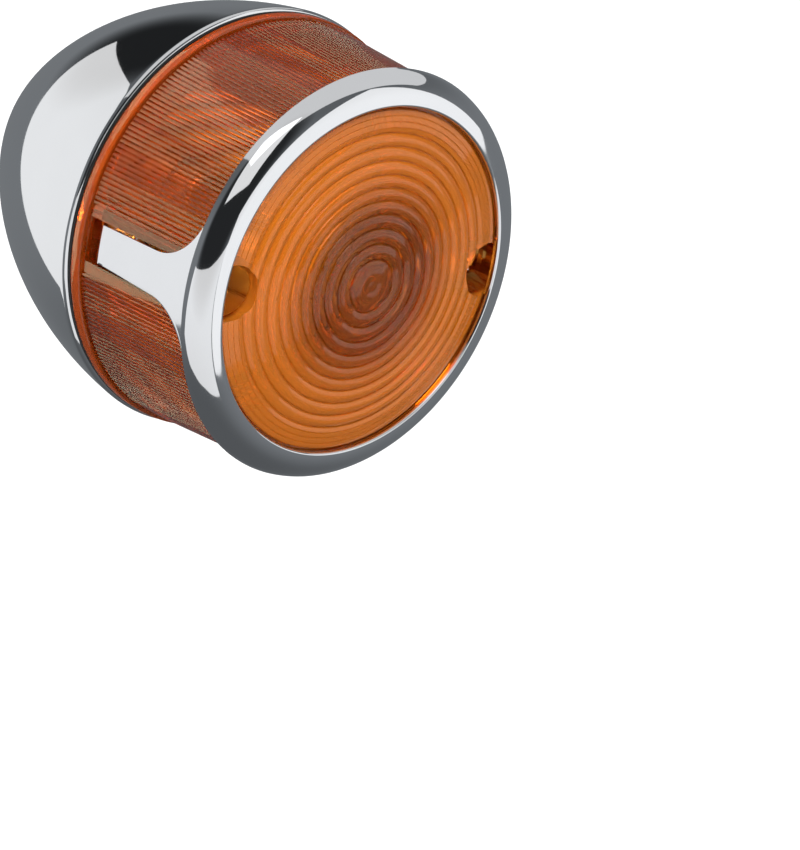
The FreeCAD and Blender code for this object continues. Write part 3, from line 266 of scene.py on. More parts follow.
nylon = plastic("natural_nylon", (0.78, 0.76, 0.68), 0.42)
phenolic = plastic("brown_phenolic", (0.13, 0.055, 0.025), 0.4)
bulb_black = plastic("bulb_insulator_black", (0.02, 0.02, 0.025), 0.22)

# ---------------------------------------------------------------- mesh tools


def solid(verts, faces, name):
    """A mesh object with outward normals."""
    mesh = bpy.data.meshes.new(name)
    mesh.from_pydata([tuple(v) for v in verts], [], faces)
    work = bmesh.new()
    work.from_mesh(mesh)
    bmesh.ops.remove_doubles(work, verts=work.verts, dist=1e-7)
    bmesh.ops.recalc_face_normals(work, faces=work.faces)
    work.to_mesh(mesh)
    work.free()
    obj = bpy.data.objects.new(name, mesh)
    bpy.context.scene.collection.objects.link(obj)
    return obj


def lathe(profile, segments, name, place=lamp, ripple=None):
    """A turned solid from (radius, along) points. A chain that starts and ends on the axis is closed by
    its poles; any other chain is closed back to its start. ripple changes the radius round the turn."""
    poled = profile[0][0] < 1e-6 and profile[-1][0] < 1e-6
    verts, rows = [], []
    for radius, along in profile:
        if radius < 1e-6:
            rows.append([len(verts)] * segments)
            verts.append(place(0, along, 0))
            continue
        rows.append([len(verts) + column for column in range(segments)])
        for column in range(segments):
            angle = TAU * column / segments
            r = radius if ripple is None else ripple(radius, along, column, angle)
            verts.append(place(r * math.cos(angle), along, r * math.sin(angle)))
    faces = []
    for i in range(len(rows) - 1 if poled else len(rows)):
        low, high = rows[i], rows[(i + 1) % len(rows)]
        for j in range(segments):
            k = (j + 1) % segments
            corners = [low[j], low[k], high[k], high[j]]
            faces.append([v for n, v in enumerate(corners) if v != corners[n - 1]])
    return solid(verts, faces, name)


def skin(rounds, name):
    """A solid from rounds with the same number of points, closed by a flat face at each end."""
    size = len(rounds[0])
    last = (len(rounds) - 1) * size
    faces = [list(range(size)), [last + j for j in reversed(range(size))]]
    for base in range(0, last, size):
        for j in range(size):
            k = (j + 1) % size
            faces.append([base + j, base + size + j, base + size + k, base + k])
    return solid([point for points in rounds for point in points], faces, name)


def rod(radius, start, end, across=0.0, up=0.0, segments=48, place=lamp):
    """A cylinder tool parallel to an axis, from start to end along it."""
    turns = [TAU * j / segments for j in range(segments)]
    rounds = []
    for along in (start, end):
        rounds.append([place(across + radius * math.cos(turn), along, up + radius * math.sin(turn))
                       for turn in turns])
    return skin(rounds, "tool")


def block(across, along, up, place=lamp):
    """A box tool between two values in each direction."""
    corners = [place(x, y, z) for x in sorted(across) for y in sorted(along) for z in sorted(up)]
    faces = [(0, 1, 3, 2), (4, 6, 7, 5), (0, 4, 5, 1), (2, 3, 7, 6), (0, 2, 6, 4), (1, 5, 7, 3)]
    return solid(corners, faces, "tool")


def combine(obj, tool, operation):
    """Union or difference with a tool object, which is then removed."""
    modifier = obj.modifiers.new("combine", "BOOLEAN")
    modifier.operation = operation
    modifier.solver = "EXACT"
    modifier.object = tool
    bpy.context.view_layer.update()
    graph = bpy.context.evaluated_depsgraph_get()
    mesh = bpy.data.meshes.new_from_object(obj.evaluated_get(graph))
    old = obj.data
    obj.modifiers.clear()
    obj.data = mesh
    bpy.data.meshes.remove(old)
    bpy.data.objects.remove(tool, do_unlink=True)


def join(obj, tool):
    combine(obj, tool, "UNION")


def cut(obj, tool):
    combine(obj, tool, "DIFFERENCE")


def finish_piece(obj, material, body, nodes, angle=32.0):
    """Shade, colour and attach a piece."""
    mesh = obj.data
    mesh.materials.clear()
    mesh.materials.append(material)
    mesh.polygons.foreach_set("use_smooth", [True] * len(mesh.polygons))
    mesh.polygons.foreach_set("material_index", [0] * len(mesh.polygons))
    mesh.set_sharp_from_angle(angle=math.radians(angle))
    mesh.update()
    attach(obj, body)
    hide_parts(*nodes)


def spline(points, steps):
    """A smooth line through the points (Catmull-Rom)."""
    points = [Vector(point) for point in points]
    last = len(points) - 1
    result = []
    for i in range(last):
        before, here, there, after = (points[max(0, min(last, k))] for k in range(i - 1, i + 3))
        for step in range(steps):
            t = step / steps
            spot = 0.5 * (2 * here + (there - before) * t
                          + (2 * before - 5 * here + 4 * there - after) * t * t
                          + (3 * here - before - 3 * there + after) * t ** 3)
            result.append(tuple(spot))
    return result + [tuple(points[-1])]


def offset(line, distance):
    """A (radius, along) line moved sideways, towards the axis where it runs backwards."""
    moved = []
    for i, (r, y) in enumerate(line):
        before, after = line[max(i - 1, 0)], line[min(i + 1, len(line) - 1)]
        dr, dy = after[0] - before[0], after[1] - before[1]
        length = math.hypot(dr, dy)
        moved.append((r - dy / length * distance, y + dr / length * distance))
    return moved


# ---------------------------------------------------------------- housing

RIM_Y, RIM_R, MOUTH_R = 36.3, 41.9, 38.3
SIDE_R, NOSE_R = 89.0, 23.0
SIDE_SLOPE = math.radians(6.8)
SHELL = 2.4
POST_R, POST_FRONT = 4.6, 32.65
POST_ENDS = (51.0, 49.0)
POST_HOLE_R, POST_HOLE_END = 2.1, 45.6
LUG_R, LUG_FRONT, LUG_END = 3.6, 40.0, 55.0
LUG_HOLE_R, LUG_HOLE_END = 1.3, 48.0
NECK_R, NECK_ROOT, NECK_END = 11.0, 3.6, 47.0
BALL_ROOM_R, BALL_ROOM_FLOOR = 8.6, 35.2
WIRE_HOLE_R = 3.2

# the outline is a long arc along the side that runs into a short one round the nose
side_y = RIM_Y + 0.6 - SIDE_R * math.sin(SIDE_SLOPE)
side_centre = RIM_R - SIDE_R * math.cos(SIDE_SLOPE)
meet = math.acos(-side_centre / (SIDE_R - NOSE_R))
nose_y = side_y + (SIDE_R - NOSE_R) * math.sin(meet)


def bullet_radius(y):
    """The housing's outside radius at a distance behind the ring's front."""
    if y < nose_y + NOSE_R * math.sin(meet):
        return side_centre + math.sqrt(SIDE_R ** 2 - (y - side_y) ** 2)
    return math.sqrt(max(NOSE_R ** 2 - (y - nose_y) ** 2, 0.0))


def bullet_line(inset, first_y, steps):
    """The housing's outline from a front plane to the nose, moved inwards by inset."""
    big, small = SIDE_R - inset, NOSE_R - inset
    start = math.asin((first_y - side_y) / big)
    line = []
    for i in range(steps):
        angle = start + (meet - start) * i / steps
        line.append((side_centre + big * math.cos(angle), side_y + big * math.sin(angle)))
    for i in range(steps // 2 + 1):
        angle = meet + (math.pi / 2 - meet) * i / (steps // 2)
        line.append((small * math.cos(angle), nose_y + small * math.sin(angle)))
    line[-1] = (0.0, line[-1][1])
    return line


def neck():
    """The round neck that holds the ball. Its rounded root follows the shell's own surface."""
    neck_y = (STUD_Y - FRONT_Y) / MM
    turns = [TAU * j / 128 for j in range(128)]

    def level(x, r):
        return [lamp(x, neck_y + r * math.cos(turn), r * math.sin(turn)) for turn in turns]

    def root(reach, lift):
        points = []
        for turn in turns:
            y, z = neck_y + reach * math.cos(turn), reach * math.sin(turn)
            points.append(lamp(math.sqrt(max(bullet_radius(y) ** 2 - z * z, 0.0)) + lift, y, z))
        return points

    rounds = [level(28.5, NECK_R + NECK_ROOT), root(NECK_R + NECK_ROOT, -0.5)]
    for i in range(13):
        t = i / 12 * math.pi / 2
        rounds.append(root(NECK_R + NECK_ROOT * (1 - math.sin(t)), NECK_ROOT * (1 - math.cos(t))))
    for back, inset in ((0.6, 0.0), (0.25, 0.12), (0.0, 0.45)):
        rounds.append(level(NECK_END - back, NECK_R - inset))
    return skin(rounds, "neck")


rim = [(MOUTH_R, RIM_Y + 2.9), (MOUTH_R, RIM_Y + 0.3), (MOUTH_R + 0.25, RIM_Y)]
rim += [(RIM_R - 1.0, RIM_Y), (RIM_R - 0.55, RIM_Y + 0.08)]
rim += [(RIM_R - 0.22, RIM_Y + 0.3), (RIM_R - 0.06, RIM_Y + 0.62)]
inside = bullet_line(SHELL, RIM_Y + 3.0, 40)
shell = lathe(inside[::-1] + rim + bullet_line(0.0, RIM_Y + 1.1, 64), 256, "housing_chrome")
for side, end in zip(SIDES, POST_ENDS):
    join(shell, rod(POST_R, POST_FRONT, end, across=side * SCREW_X))
for z in (LUG_Z, -LUG_Z):
    join(shell, rod(LUG_R, LUG_FRONT, LUG_END, up=z))
join(shell, neck())
cut(shell, rod(BALL_ROOM_R, BALL_ROOM_FLOOR, 60.0, segments=96, place=on_stud))
cut(shell, rod(WIRE_HOLE_R, 20.0, 40.0, place=on_stud))
for side in SIDES:
    cut(shell, rod(POST_HOLE_R, 30.0, POST_HOLE_END, across=side * SCREW_X, segments=32))
for z in (LUG_Z, -LUG_Z):
    cut(shell, rod(LUG_HOLE_R, 38.0, LUG_HOLE_END, up=z, segments=32))
finish_piece(shell, chrome, "lamp", ["housing"], 28.0)

# ---------------------------------------------------------------- gasket

gasket_section = [(38.3, 35.68), (38.5, 35.65), (40.9, 35.65), (41.25, 35.74), (41.36, 35.97)]
gasket_section += [(41.25, 36.2), (40.9, 36.3), (38.3, 36.3)]
gasket = lathe(gasket_section, 192, "gasket_ring")
finish_piece(gasket, rubber, "lamp", ["lens_gasket"])

# ---------------------------------------------------------------- lens

DOME_Y, DOME_K = -2.2, 0.0029
RING_RADII = (5.2, 8.2, 11.2, 13.9, 16.4, 18.8, 21.2, 23.8, 26.4, 28.9)
GROOVE, GROOVE_HALF, CROWN = 0.62, 0.27, 0.30
FINE_RADII = (30.0, 31.1, 32.2)
FLUTES, FLUTE = 270, 0.26
PLAIN_HALF = 6.5
SIDE_FRONT, SIDE_REAR = 4.2, 33.3
R_FRONT, R_REAR = 38.5, 40.35
WELL_R, WELL_WALL_R, WELL_FLOOR, WELL_BACK = 5.4, 6.6, 30.15, 32.6
SLOT_HALF = 4.3
SCREW_HOLE_R, POST_ROOM_R = 2.35, 4.9


def dome(r):
    """How far behind the ring's front the lens's face is at a radius."""
    return DOME_Y + DOME_K * r * r


def side_radius(y):
    """The radius at the bottom of the flutes."""
    return R_FRONT + (R_REAR - R_FRONT) * (y - SIDE_FRONT) / (SIDE_REAR - SIDE_FRONT)


def flute(radius, along, column, angle):
    """Flutes on the lens's outer side, away from the plain strips round its slots."""
    if not SIDE_FRONT + 0.5 <= along <= SIDE_REAR - 0.1 or radius < side_radius(along) - 0.3:
        return radius
    if abs(math.sin(angle)) * radius < PLAIN_HALF:
        return radius
    return radius + (FLUTE if column % 4 else 0.0)


def lens_face():
    """The ringed front, from the middle outwards. Each zone dips towards its edges and ends in a
    narrow groove; three fine grooves lie outside the last one."""
    line = [(0.0, dome(0.0))]
    previous = 0.0
    for r in RING_RADII:
        edge = r - GROOVE_HALF
        for step in range(1, 7):
            at = previous + (edge - previous) * step / 6
            line.append((at, dome(at) + CROWN * (1 - math.sin(math.pi * step / 6))))
        previous = r + GROOVE_HALF
        line += [(r - 0.05, dome(r) + GROOVE), (r + 0.05, dome(r) + GROOVE)]
        line.append((previous, dome(previous) + CROWN))
    for r in FINE_RADII:
        line += [(r - 0.12, dome(r)), (r - 0.03, dome(r) + 0.12)]
        line += [(r + 0.03, dome(r) + 0.12), (r + 0.12, dome(r))]
    return line


front_edge = [(33.2, dome(33.2)), (33.4, 1.2), (33.45, 1.9), (36.0, 1.9)]
front_edge += [(37.0, 2.15), (37.8, 2.7), (38.3, 3.5)]
fluted = [SIDE_FRONT + 0.5 + (SIDE_REAR - SIDE_FRONT - 0.7) * step / 8 for step in range(1, 9)]
fluted_side = [(R_FRONT, SIDE_FRONT), (R_FRONT + 0.03, SIDE_FRONT + 0.5)]
fluted_side += [(side_radius(y), y) for y in fluted]
flange = [(R_REAR, SIDE_REAR), (40.9, 33.3), (41.2, 33.45), (41.3, 33.8)]
flange += [(41.3, 35.3), (41.2, 35.52), (41.0, 35.6)]
spigot = [(38.0, 35.6), (38.0, 38.2), (37.8, 38.4), (36.4, 38.4), (36.2, 38.2), (36.3, 35.0), (36.35, 33.3)]
within = [(36.3, 20.0), (36.2, 6.2), (35.6, 5.0)]
within += spline([(34.6, 4.3), (30.0, 3.85), (26.0, 3.2), (19.0, 2.1),
                  (10.0, 0.9), (4.0, 0.4), (0.0, 0.3)], 6)
section = lens_face() + front_edge + fluted_side + flange + spigot + within
lens = lathe(section, 4 * FLUTES, "lens_amber", ripple=flute)
for side in SIDES:
    join(lens, rod(WELL_WALL_R, 2.4, WELL_BACK, across=side * SCREW_X, segments=72))
for side in SIDES:
    x = side * SCREW_X
    cut(lens, rod(WELL_R, -8.0, WELL_FLOOR, across=x, segments=72))
    cut(lens, rod(SCREW_HOLE_R, 28.0, 40.0, across=x, segments=40))
    cut(lens, rod(POST_ROOM_R, WELL_BACK, 40.0, across=x, segments=64))
    cut(lens, block((x, side * 43.0), (9.0, WELL_FLOOR), (-SLOT_HALF, SLOT_HALF)))
    cut(lens, block((side * 37.5, side * 43.0), (25.0, WELL_BACK), (-SLOT_HALF, SLOT_HALF)))
finish_piece(lens, amber, "lens_unit", ["lens"], 22.0)

# ---------------------------------------------------------------- trim ring

RING_R, RING_Y, RING_T = 40.25, 4.3, 0.9
LEG_Y, LEG_HALF, LEG_ROOT, FLARE, LEG_BEND = 30.1, 3.7, 4.15, 10.0, 1.3
FLARE_ROWS, LEG_ROWS, BEND_ROWS, TAB_ROWS = 20, 30, 8, 12
LEG_COLUMNS, GAP_COLUMNS = 36, 150
TAB_HOLE_R = 2.3
EASE, EASE_FROM = 0.12, 0.9
spread = [2 * n / LEG_COLUMNS - 1 for n in range(LEG_COLUMNS + 1)]

bezel = spline([
    (33.95, 1.3), (33.91, 0.75), (33.96, 0.38), (34.12, 0.1), (34.4, 0.0), (35.3, 0.065), (36.3, 0.29),
    (37.2, 0.65), (38.1, 1.2), (38.9, 1.9), (39.5, 2.6), (39.95, 3.35), (RING_R, RING_Y)], 5)
# the inner face keeps clear of the lens and meets the lip in a narrow flat
inner_bezel = [(max(r, 33.95), max(y, 0.6)) for r, y in offset(bezel, RING_T)]
inner_bezel[0] = (34.55, 1.3)


def ring_columns():
    """The angle of each column, close together where the legs grow out; a leg's columns come first."""
    half_root = (LEG_ROOT + FLARE) / RING_R
    gap = math.pi - 2 * half_root
    angles = []
    for centre in (0.0, math.pi):
        angles += [centre - half_root + 2 * half_root * i / LEG_COLUMNS for i in range(LEG_COLUMNS)]
        angles += [centre + half_root + gap * i / GAP_COLUMNS for i in range(GAP_COLUMNS)]
    return angles


def flare_row(row, centre):
    """A row of a leg that lies on the ring's round: first the flare, then the straight stretch."""
    if row <= FLARE_ROWS:
        angle = math.pi / 2 * row / FLARE_ROWS
        half, y = LEG_ROOT + FLARE * (1 - math.sin(angle)), RING_Y + FLARE * (1 - math.cos(angle))
    else:
        t = (row - FLARE_ROWS) / (LEG_ROWS - FLARE_ROWS)
        half = LEG_ROOT + (LEG_HALF - LEG_ROOT) * t
        y = RING_Y + FLARE + (LEG_Y - LEG_BEND - RING_Y - FLARE) * t
    pairs = []
    for s in spread:
        # the edges are eased so that they catch the light
        ease = EASE * max(0.0, abs(s) - EASE_FROM) / (1 - EASE_FROM)
        angle = centre + s * half / RING_R
        pairs.append([lamp(r * math.cos(angle), y, r * math.sin(angle))
                      for r in (RING_R - ease, RING_R - RING_T + ease)])
    return pairs


def bend_row(row, side):
    """A row of the bend that turns a leg in towards the axis."""
    turn = math.pi / 2 * row / BEND_ROWS
    pairs = []
    for s in spread:
        sag = (1 - math.cos(s * LEG_HALF / RING_R)) * RING_R * math.cos(turn)
        pairs.append([lamp(side * (RING_R - LEG_BEND + size * math.cos(turn) - sag),
                           LEG_Y - LEG_BEND + size * math.sin(turn), side * s * LEG_HALF)
                      for size in (LEG_BEND, LEG_BEND - RING_T)])
    return pairs


def tab_row(row, side):
    """A row of the tab, which ends in a round about the screw."""
    start = RING_R - LEG_BEND
    pairs = []
    for s in spread:
        across = s * LEG_HALF
        end = SCREW_X - math.sqrt(max((LEG_HALF + 0.001) ** 2 - across ** 2, 0.0))
        r = start + (end - start) * row / TAB_ROWS
        pairs.append([lamp(side * r, y, side * across) for y in (LEG_Y, LEG_Y - RING_T)])
    return pairs


def quads(first, second):
    """Faces between two chains of vertices."""
    return [[a, b, d, c] for a, b, c, d in zip(first, first[1:], second, second[1:])]


def trim_ring():
    """The ring and its two legs as one sheet with an outer and an inner skin."""
    verts, faces = [], []

    def strip(points):
        verts.extend(points)
        return list(range(len(verts) - len(points), len(verts)))

    angles = ring_columns()
    outer, inner = ([strip([lamp(r * math.cos(angle), y, r * math.sin(angle)) for r, y in line])
                     for angle in angles] for line in (bezel, inner_bezel))
    count = len(angles)
    for c in range(count):
        d = (c + 1) % count
        faces += quads(outer[c], outer[d]) + quads(inner[c], inner[d])
        faces += quads([outer[c][0], outer[d][0]], [inner[c][0], inner[d][0]])
        if c % (LEG_COLUMNS + GAP_COLUMNS) >= LEG_COLUMNS:
            faces += quads([outer[c][-1], outer[d][-1]], [inner[c][-1], inner[d][-1]])
    for base, centre, side in ((0, 0.0, 1), (LEG_COLUMNS + GAP_COLUMNS, math.pi, -1)):
        rows = [flare_row(row, centre) for row in range(1, LEG_ROWS + 1)]
        rows += [bend_row(row, side) for row in range(1, BEND_ROWS + 1)]
        rows += [tab_row(row, side) for row in range(1, TAB_ROWS + 1)]
        columns = [base + n for n in range(LEG_COLUMNS + 1)]
        above, below = [outer[c][-1] for c in columns], [inner[c][-1] for c in columns]
        for pairs in rows:
            next_above, next_below = strip([pair[0] for pair in pairs]), strip([pair[1] for pair in pairs])
            faces += quads(above, next_above) + quads(below, next_below)
            for n in (0, -1):
                faces += quads([above[n], next_above[n]], [below[n], next_below[n]])
            above, below = next_above, next_below
        faces += quads(above, below)
    return solid(verts, faces, "trim_chrome")


trim = trim_ring()
for side in SIDES:
    cut(trim, rod(TAB_HOLE_R, 27.0, 33.0, across=side * SCREW_X, segments=40))
finish_piece(trim, trim_chrome, "lens_unit", ["trim_ring"], 40.0)

# ---------------------------------------------------------------- reflector

SHEET = 0.8
BOWL_HOLE_R, BOWL_Y = 9.0, 40.0
NOTCH_X, NOTCH_R = 31.5, 5.2
LUG_SCREW_R, RIVET_HOLE_R = 1.6, 1.05

bowl = spline([(35.3, BOWL_Y), (31.0, BOWL_Y), (27.8, 40.05), (26.2, 41.2), (23.6, 45.3), (20.4, 48.9),
               (17.4, 51.3), (14.4, 52.35), (12.0, 52.4), (BOWL_HOLE_R, 52.4)], 5)
front_bowl = [(max(r, BOWL_HOLE_R), y) for r, y in offset(bowl, SHEET)]
reflector = lathe(bowl + front_bowl[::-1], 192, "reflector_bowl")
for side in SIDES:
    x = side * NOTCH_X
    cut(reflector, rod(NOTCH_R, 38.0, 42.0, across=x))
    cut(reflector, block((x, side * 37.0), (38.0, 42.0), (-NOTCH_R, NOTCH_R)))
for z in (LUG_Z, -LUG_Z):
    cut(reflector, rod(LUG_SCREW_R, 38.0, 42.0, up=z, segments=24))
for side in SIDES:
    cut(reflector, rod(RIVET_HOLE_R, 50.0, 54.0, across=side * RIVET_X, segments=24))
finish_piece(reflector, reflector_sheet, "lamp", ["reflector"], 30.0)

# ---------------------------------------------------------------- bulb glass

GLASS_Y, GLASS_R, GLASS_NECK, GLASS_T = 29.2, 13.2, 6.7, 0.7

# a half round at the tip, then a slow taper to the neck
round_tip = []
for degrees in range(0, 91, 15):
    turn = math.radians(degrees)
    round_tip.append((GLASS_R * math.sin(turn), GLASS_Y - GLASS_R * math.cos(turn)))
taper = [(12.75, 3.4), (11.3, 6.7), (9.2, 9.6), (7.4, 12.2), (6.75, 14.6)]
taper = [(r, GLASS_Y + along) for r, along in taper]
pear = spline(round_tip + taper + [(GLASS_NECK, 46.0), (GLASS_NECK, 52.0)], 6)
pear_in = offset(pear, GLASS_T)
pear_in[0] = (0.0, pear_in[0][1])
blown = lathe(pear + pear_in[::-1], 96, "bulb_glass_blown")
finish_piece(blown, bulb_clear, "bulb", ["bulb_glass"], 50.0)

# ---------------------------------------------------------------- threaded stud

BALL_X, BALL_R, BORE_R = 43.0, 7.5, 1.9
SHANK_R, COLLAR_R, COLLAR_FROM, COLLAR_TO = 3.6, 7.6, 53.0, 55.5
THREAD_R, THREAD_DEPTH, PITCH, THREAD_STEP = 4.0, 0.62, 1.25, 0.104
THREAD_FROM, THREAD_TO, STUD_END = 55.6, 72.2, 73.0
FADE_FROM, FADE = 55.85, 0.8
RELIEF_FROM, RELIEF_TO, RELIEF_R = 60.5, 61.4, 3.35
FLAT_HALF = 6.5


def thread(radius, along, column, angle):
    """A V thread on the free stud, with a plain groove under the washer; it fades out at the collar."""
    if along <= FADE_FROM or radius < THREAD_R:
        return radius
    if RELIEF_FROM < along < RELIEF_TO:
        return RELIEF_R
    phase = (along / PITCH - angle / TAU) % 1.0
    fade = min(1.0, (along - FADE_FROM) / FADE)
    return radius - THREAD_DEPTH * abs(2 * phase - 1) * fade


ball = []
for i in range(49):
    angle = (math.pi - math.asin(BORE_R / BALL_R)) * (1 - i / 48) + math.asin(SHANK_R / BALL_R) * i / 48
    ball.append((BALL_R * math.sin(angle), BALL_X + BALL_R * math.cos(angle)))
shank = [(SHANK_R, COLLAR_FROM - 0.1), (SHANK_R + 0.15, COLLAR_FROM)]
collar = [(COLLAR_R - 0.3, COLLAR_FROM), (COLLAR_R, COLLAR_FROM + 0.3)]
collar += [(COLLAR_R, COLLAR_TO - 0.3), (COLLAR_R - 0.3, COLLAR_TO), (THREAD_R, COLLAR_TO)]
turns = int((THREAD_TO - THREAD_FROM) / THREAD_STEP) + 1
threaded = [(THREAD_R, THREAD_FROM + THREAD_STEP * i) for i in range(turns)]
tip = [(THREAD_R - 0.02, THREAD_TO + 0.05), (3.2, STUD_END), (BORE_R, STUD_END)]
stud_line = ball + shank + collar + threaded + tip
stud = lathe(stud_line, 96, "mount_stud_threaded", place=on_stud, ripple=thread)
for side in SIDES:
    flat = block((-9.0, 9.0), (COLLAR_FROM - 0.2, COLLAR_TO + 0.2), (side * FLAT_HALF, side * 9.0), on_stud)
    cut(stud, flat)
finish_piece(stud, zinc, "mount", ["mount_stud"], 30.0)

# ---------------------------------------------------------------- CAD nodes that stay


def smooth_group():
    """Geometry nodes that shade smooth, with the sharper edges kept."""
    group = bpy.data.node_groups.new("smooth_by_angle", "GeometryNodeTree")
    group.interface.new_socket("Geometry", in_out="INPUT", socket_type="NodeSocketGeometry")
    group.interface.new_socket("Geometry", in_out="OUTPUT", socket_type="NodeSocketGeometry")
    enter = group.nodes.new("NodeGroupInput")
    leave = group.nodes.new("NodeGroupOutput")
    edge_angle = group.nodes.new("GeometryNodeInputMeshEdgeAngle")
    compare = group.nodes.new("FunctionNodeCompare")
    compare.data_type = "FLOAT"
    compare.operation = "GREATER_THAN"
    compare.inputs[1].default_value = math.radians(28)
    store = group.nodes.new("GeometryNodeStoreNamedAttribute")
    store.data_type = "BOOLEAN"
    store.domain = "EDGE"
    store.inputs["Name"].default_value = "sharp_edge"
    shade = group.nodes.new("GeometryNodeSetShadeSmooth")
    group.links.new(enter.outputs[0], store.inputs["Geometry"])
    group.links.new(edge_angle.outputs["Unsigned Angle"], compare.inputs[0])
    group.links.new(compare.outputs[0], store.inputs["Value"])
    group.links.new(store.outputs[0], shade.inputs[0])
    group.links.new(shade.outputs[0], leave.inputs[0])
    return group


# the material, the width of its eased edges, and the nodes
KEPT = (
    (zinc, 0.12, ("jam_nut", "reflector_screw_top", "reflector_screw_bottom")),
    (zinc, 0.06, ("lens_washer_left", "lens_washer_right", "lens_screw_left", "lens_screw_right")),
    (zinc, 0.0, ("star_washer",)),
    (nylon, 0.0, ("ball_seat",)),
    (chrome, 0.15, ("clamp_cap",)),
    (black_oxide, 0.05, ("cap_set_screw",)),
    (rubber, 0.0, ("wire_grommet",)),
    (brass, 0.1, ("socket_rivet_left", "socket_rivet_right")),
    (brass, 0.08, ("bulb_base",)),
    (brass, 0.0, ("socket_shell", "ground_terminal", "contact_pip_left", "contact_pip_right")),
    (phenolic, 0.1, ("socket_back", "contact_plate")),
    (spring_wire, 0.0, ("contact_spring",)),
    (bulb_clear, 0.0, ("bulb_stem",)),
    (tungsten, 0.0, ("filament_bright", "filament_dim")),
    (bulb_black, 0.1, ("bulb_insulator",)),
    (solder, 0.0, ("solder_contact_left", "solder_contact_right")),
)
smoothing = smooth_group()
for material, easing, names in KEPT:
    for name in names:
        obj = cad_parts[name]
        obj.data.materials.clear()
        obj.data.materials.append(material)
        weld = obj.modifiers.new("weld", "WELD")
        weld.merge_threshold = 1e-6
        if easing:
            bevel = obj.modifiers.new("ease", "BEVEL")
            bevel.width = easing * MM
            bevel.segments = 2
            bevel.limit_method = "ANGLE"
            bevel.angle_limit = math.radians(40)
        smooth = obj.modifiers.new("smooth", "NODES")
        smooth.node_group = smoothing

# ---------------------------------------------------------------- floor and studio

FLOOR_Z = AXIS_Z - 0.9
FLOOR_REACH = 20.0
STUDIO_LEVEL = 0.19


def floor_material():
    """A pale matt floor."""
    nodes = Nodes("pale_floor")
    shader = nodes.principled(Roughness=0.8)
    nodes.surface(shader)
    tint = nodes.ramp(nodes.noise(3.0), [(0.3, (0.80, 0.80, 0.80)), (0.7, (0.84, 0.84, 0.84))])
    nodes.link(tint, shader.inputs["Base Color"])
    return nodes.material


corners = [(x * FLOOR_REACH, y * FLOOR_REACH, FLOOR_Z) for x, y in ((-1, -1), (1, -1), (1, 1), (-1, 1))]
floor_mesh = bpy.data.meshes.new("floor")
floor_mesh.from_pydata(corners, [], [(0, 1, 2, 3)])
floor = bpy.data.objects.new("floor", floor_mesh)
floor.data.materials.append(floor_material())
bpy.context.scene.collection.objects.link(floor)
# the lamp's reflections show the studio, not the floor, as in a cut-out picture
floor.visible_glossy = False
floor.visible_transmission = False

world = bpy.data.worlds.new("studio")
bpy.context.scene.world = world
world.use_nodes = True
sky = world.node_tree
way = sky.nodes.new("ShaderNodeTexCoord")


def shade_towards(direction, start, end, level, other):
    """The studio's level falls to a darker one within a cone about a direction. Where other is already
    darker, it stays."""
    facing = sky.nodes.new("ShaderNodeVectorMath")
    facing.operation = "DOT_PRODUCT"
    facing.inputs[1].default_value = Vector(direction).normalized()
    fall = sky.nodes.new("ShaderNodeMapRange")
    fall.interpolation_type = "SMOOTHSTEP"
    fall.inputs["From Min"].default_value = start
    fall.inputs["From Max"].default_value = end
    fall.inputs["To Min"].default_value = STUDIO_LEVEL
    fall.inputs["To Max"].default_value = level
    sky.links.new(way.outputs["Generated"], facing.inputs[0])
    sky.links.new(facing.outputs["Value"], fall.inputs["Value"])
    if other is None:
        return fall.outputs["Result"]
    darker = sky.nodes.new("ShaderNodeMath")
    darker.operation = "MINIMUM"
    sky.links.new(fall.outputs["Result"], darker.inputs[0])
    sky.links.new(other, darker.inputs[1])
    return darker.outputs["Value"]


room = None
for direction, start, end, level in (
        ((0, 0, 1), 0.1, 0.6, 0.12),
        ((0, 0, -1), 0.3, 0.95, 0.10),
        ((-0.60, -0.70, 0.38), 0.55, 0.85, 0.02),
        ((0.15, 0.89, 0.43), 0.90, 0.985, 0.015)):
    room = shade_towards(direction, start, end, level, room)
sky.links.new(room, sky.nodes["Background"].inputs["Strength"])
sky.nodes["Background"].inputs["Color"].default_value = (0.88, 0.94, 1.0, 1.0)

# ---------------------------------------------------------------- lights

LAMP_MIDDLE = lamp(0, 50, 0)


def softbox(name, place, across, rise, width, height, radiance):
    """A soft rectangular light that faces the lamp. place is its middle from the lamp's, in metres;
    across and rise are the directions of its width and height."""
    light = bpy.data.lights.new(name, "AREA")
    light.shape = "RECTANGLE"
    light.size = width
    light.size_y = height
    light.energy = radiance * math.pi * width * height
    across = Vector(across).normalized()
    rise = (Vector(rise) - Vector(rise).dot(across) * across).normalized()
    back = across.cross(rise)
    if back.dot(-Vector(place)) > 0:
        across, back = -across, -back
    obj = bpy.data.objects.new(name, light)
    facing = Matrix((across, rise, back)).transposed().to_4x4()
    obj.matrix_world = Matrix.Translation(LAMP_MIDDLE + Vector(place)) @ facing
    bpy.context.scene.collection.objects.link(obj)
    return obj


def lights_only(name, lights, receivers):
    """The lights reach these objects and no others."""
    group = bpy.data.collections.new(name)
    for receiver in receivers:
        group.objects.link(receiver)
    for light in lights:
        light.light_linking.receiver_collection = group


ACROSS, ALONG, UP = (1, 0, 0), (0, 1, 0), (0, 0, 1)
DIAGONAL, DOWN_SLOPE = (1, -1, 0), (-0.6, -0.6, -0.8)

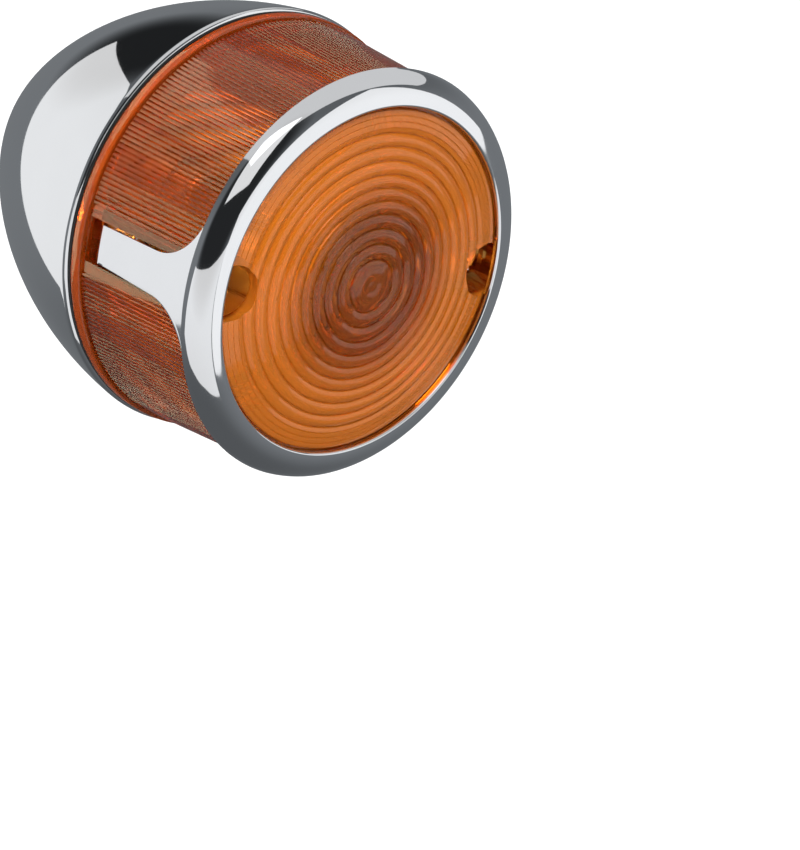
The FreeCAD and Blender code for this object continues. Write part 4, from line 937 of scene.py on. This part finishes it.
# a tilted light behind the lamp's left, a low one at its front left, one above, and two in front
rear_left = softbox("rear_left", (-0.73, 0.9, 0.04), (-0.888, 0, 0.46), (0.46, 0, 0.888), 1.5, 1.3, 0.66)
low_left = softbox("low_left", (-0.482, -0.498, -0.401), (-0.718, 0.697, 0), (-0.349, -0.36, 0.866),
                   1.56, 0.7, 0.66)
softbox("above", (0.3, 0.0, 0.9), ACROSS, ALONG, 2.2, 1.5, 0.5)
front_right = softbox("front_right", (0.539, -1.096, 0.101), (0.654, 0.491, 0.575), (-0.46, -0.345, 0.818),
                      1.5, 1.1, 0.75)
above_left = softbox("above_left", (-0.80, -0.92, 1.12), DIAGONAL, DOWN_SLOPE, 1.1, 1.15, 0.75)
# the key gives the amber its colour and makes no highlight; the veil is the sheen on the lens's side
key = softbox("key", (-0.75, -0.75, 1.2), DIAGONAL, DOWN_SLOPE, 0.9, 0.7, 21.0)
key.visible_glossy = False
veil = softbox("veil", (-0.65, 0.9, 0.20), ACROSS, UP, 1.3, 1.9, 2.4)
veil.data.color = (0.90, 1.0, 0.64)
# the floor has its own light, which looks straight down
floor_light = softbox("floor_light", (0, 0, 3.0), ACROSS, ALONG, 2 * FLOOR_REACH, 2 * FLOOR_REACH, 1.45)
floor_light.visible_camera = False

pieces = [obj for obj in bpy.context.scene.objects if obj.type == "MESH" and obj is not floor]
lights_only("lit_floor", [floor_light], [floor])
lights_only("lit_lens", [veil], [lens])
lights_only("lit_outside", [key], [lens, shell, trim, reflector])
lights_only("lit_lamp", [rear_left, low_left, front_right, above_left], pieces)

# ---------------------------------------------------------------- camera

CAMERA_SPOT = (-504.1, -498.6, 215.8)
CAMERA_TURN, CAMERA_DIP, CAMERA_ROLL = math.radians(46.2415), math.radians(18.832), math.radians(11.204)

camera_data = bpy.data.cameras.new("camera")
camera_data.sensor_fit = "VERTICAL"
camera_data.sensor_height = 36.0
camera_data.lens = 169.412
camera = bpy.data.objects.new("camera", camera_data)
bpy.context.scene.collection.objects.link(camera)
turned = Matrix.Rotation(-CAMERA_TURN, 4, "Z") @ Matrix.Rotation(math.pi / 2 - CAMERA_DIP, 4, "X")
turned = turned @ Matrix.Rotation(CAMERA_ROLL, 4, "Z")
camera.matrix_world = Matrix.Translation(lamp(*CAMERA_SPOT)) @ turned
bpy.context.scene.camera = camera
bpy.context.scene.view_settings.view_transform = "Standard"
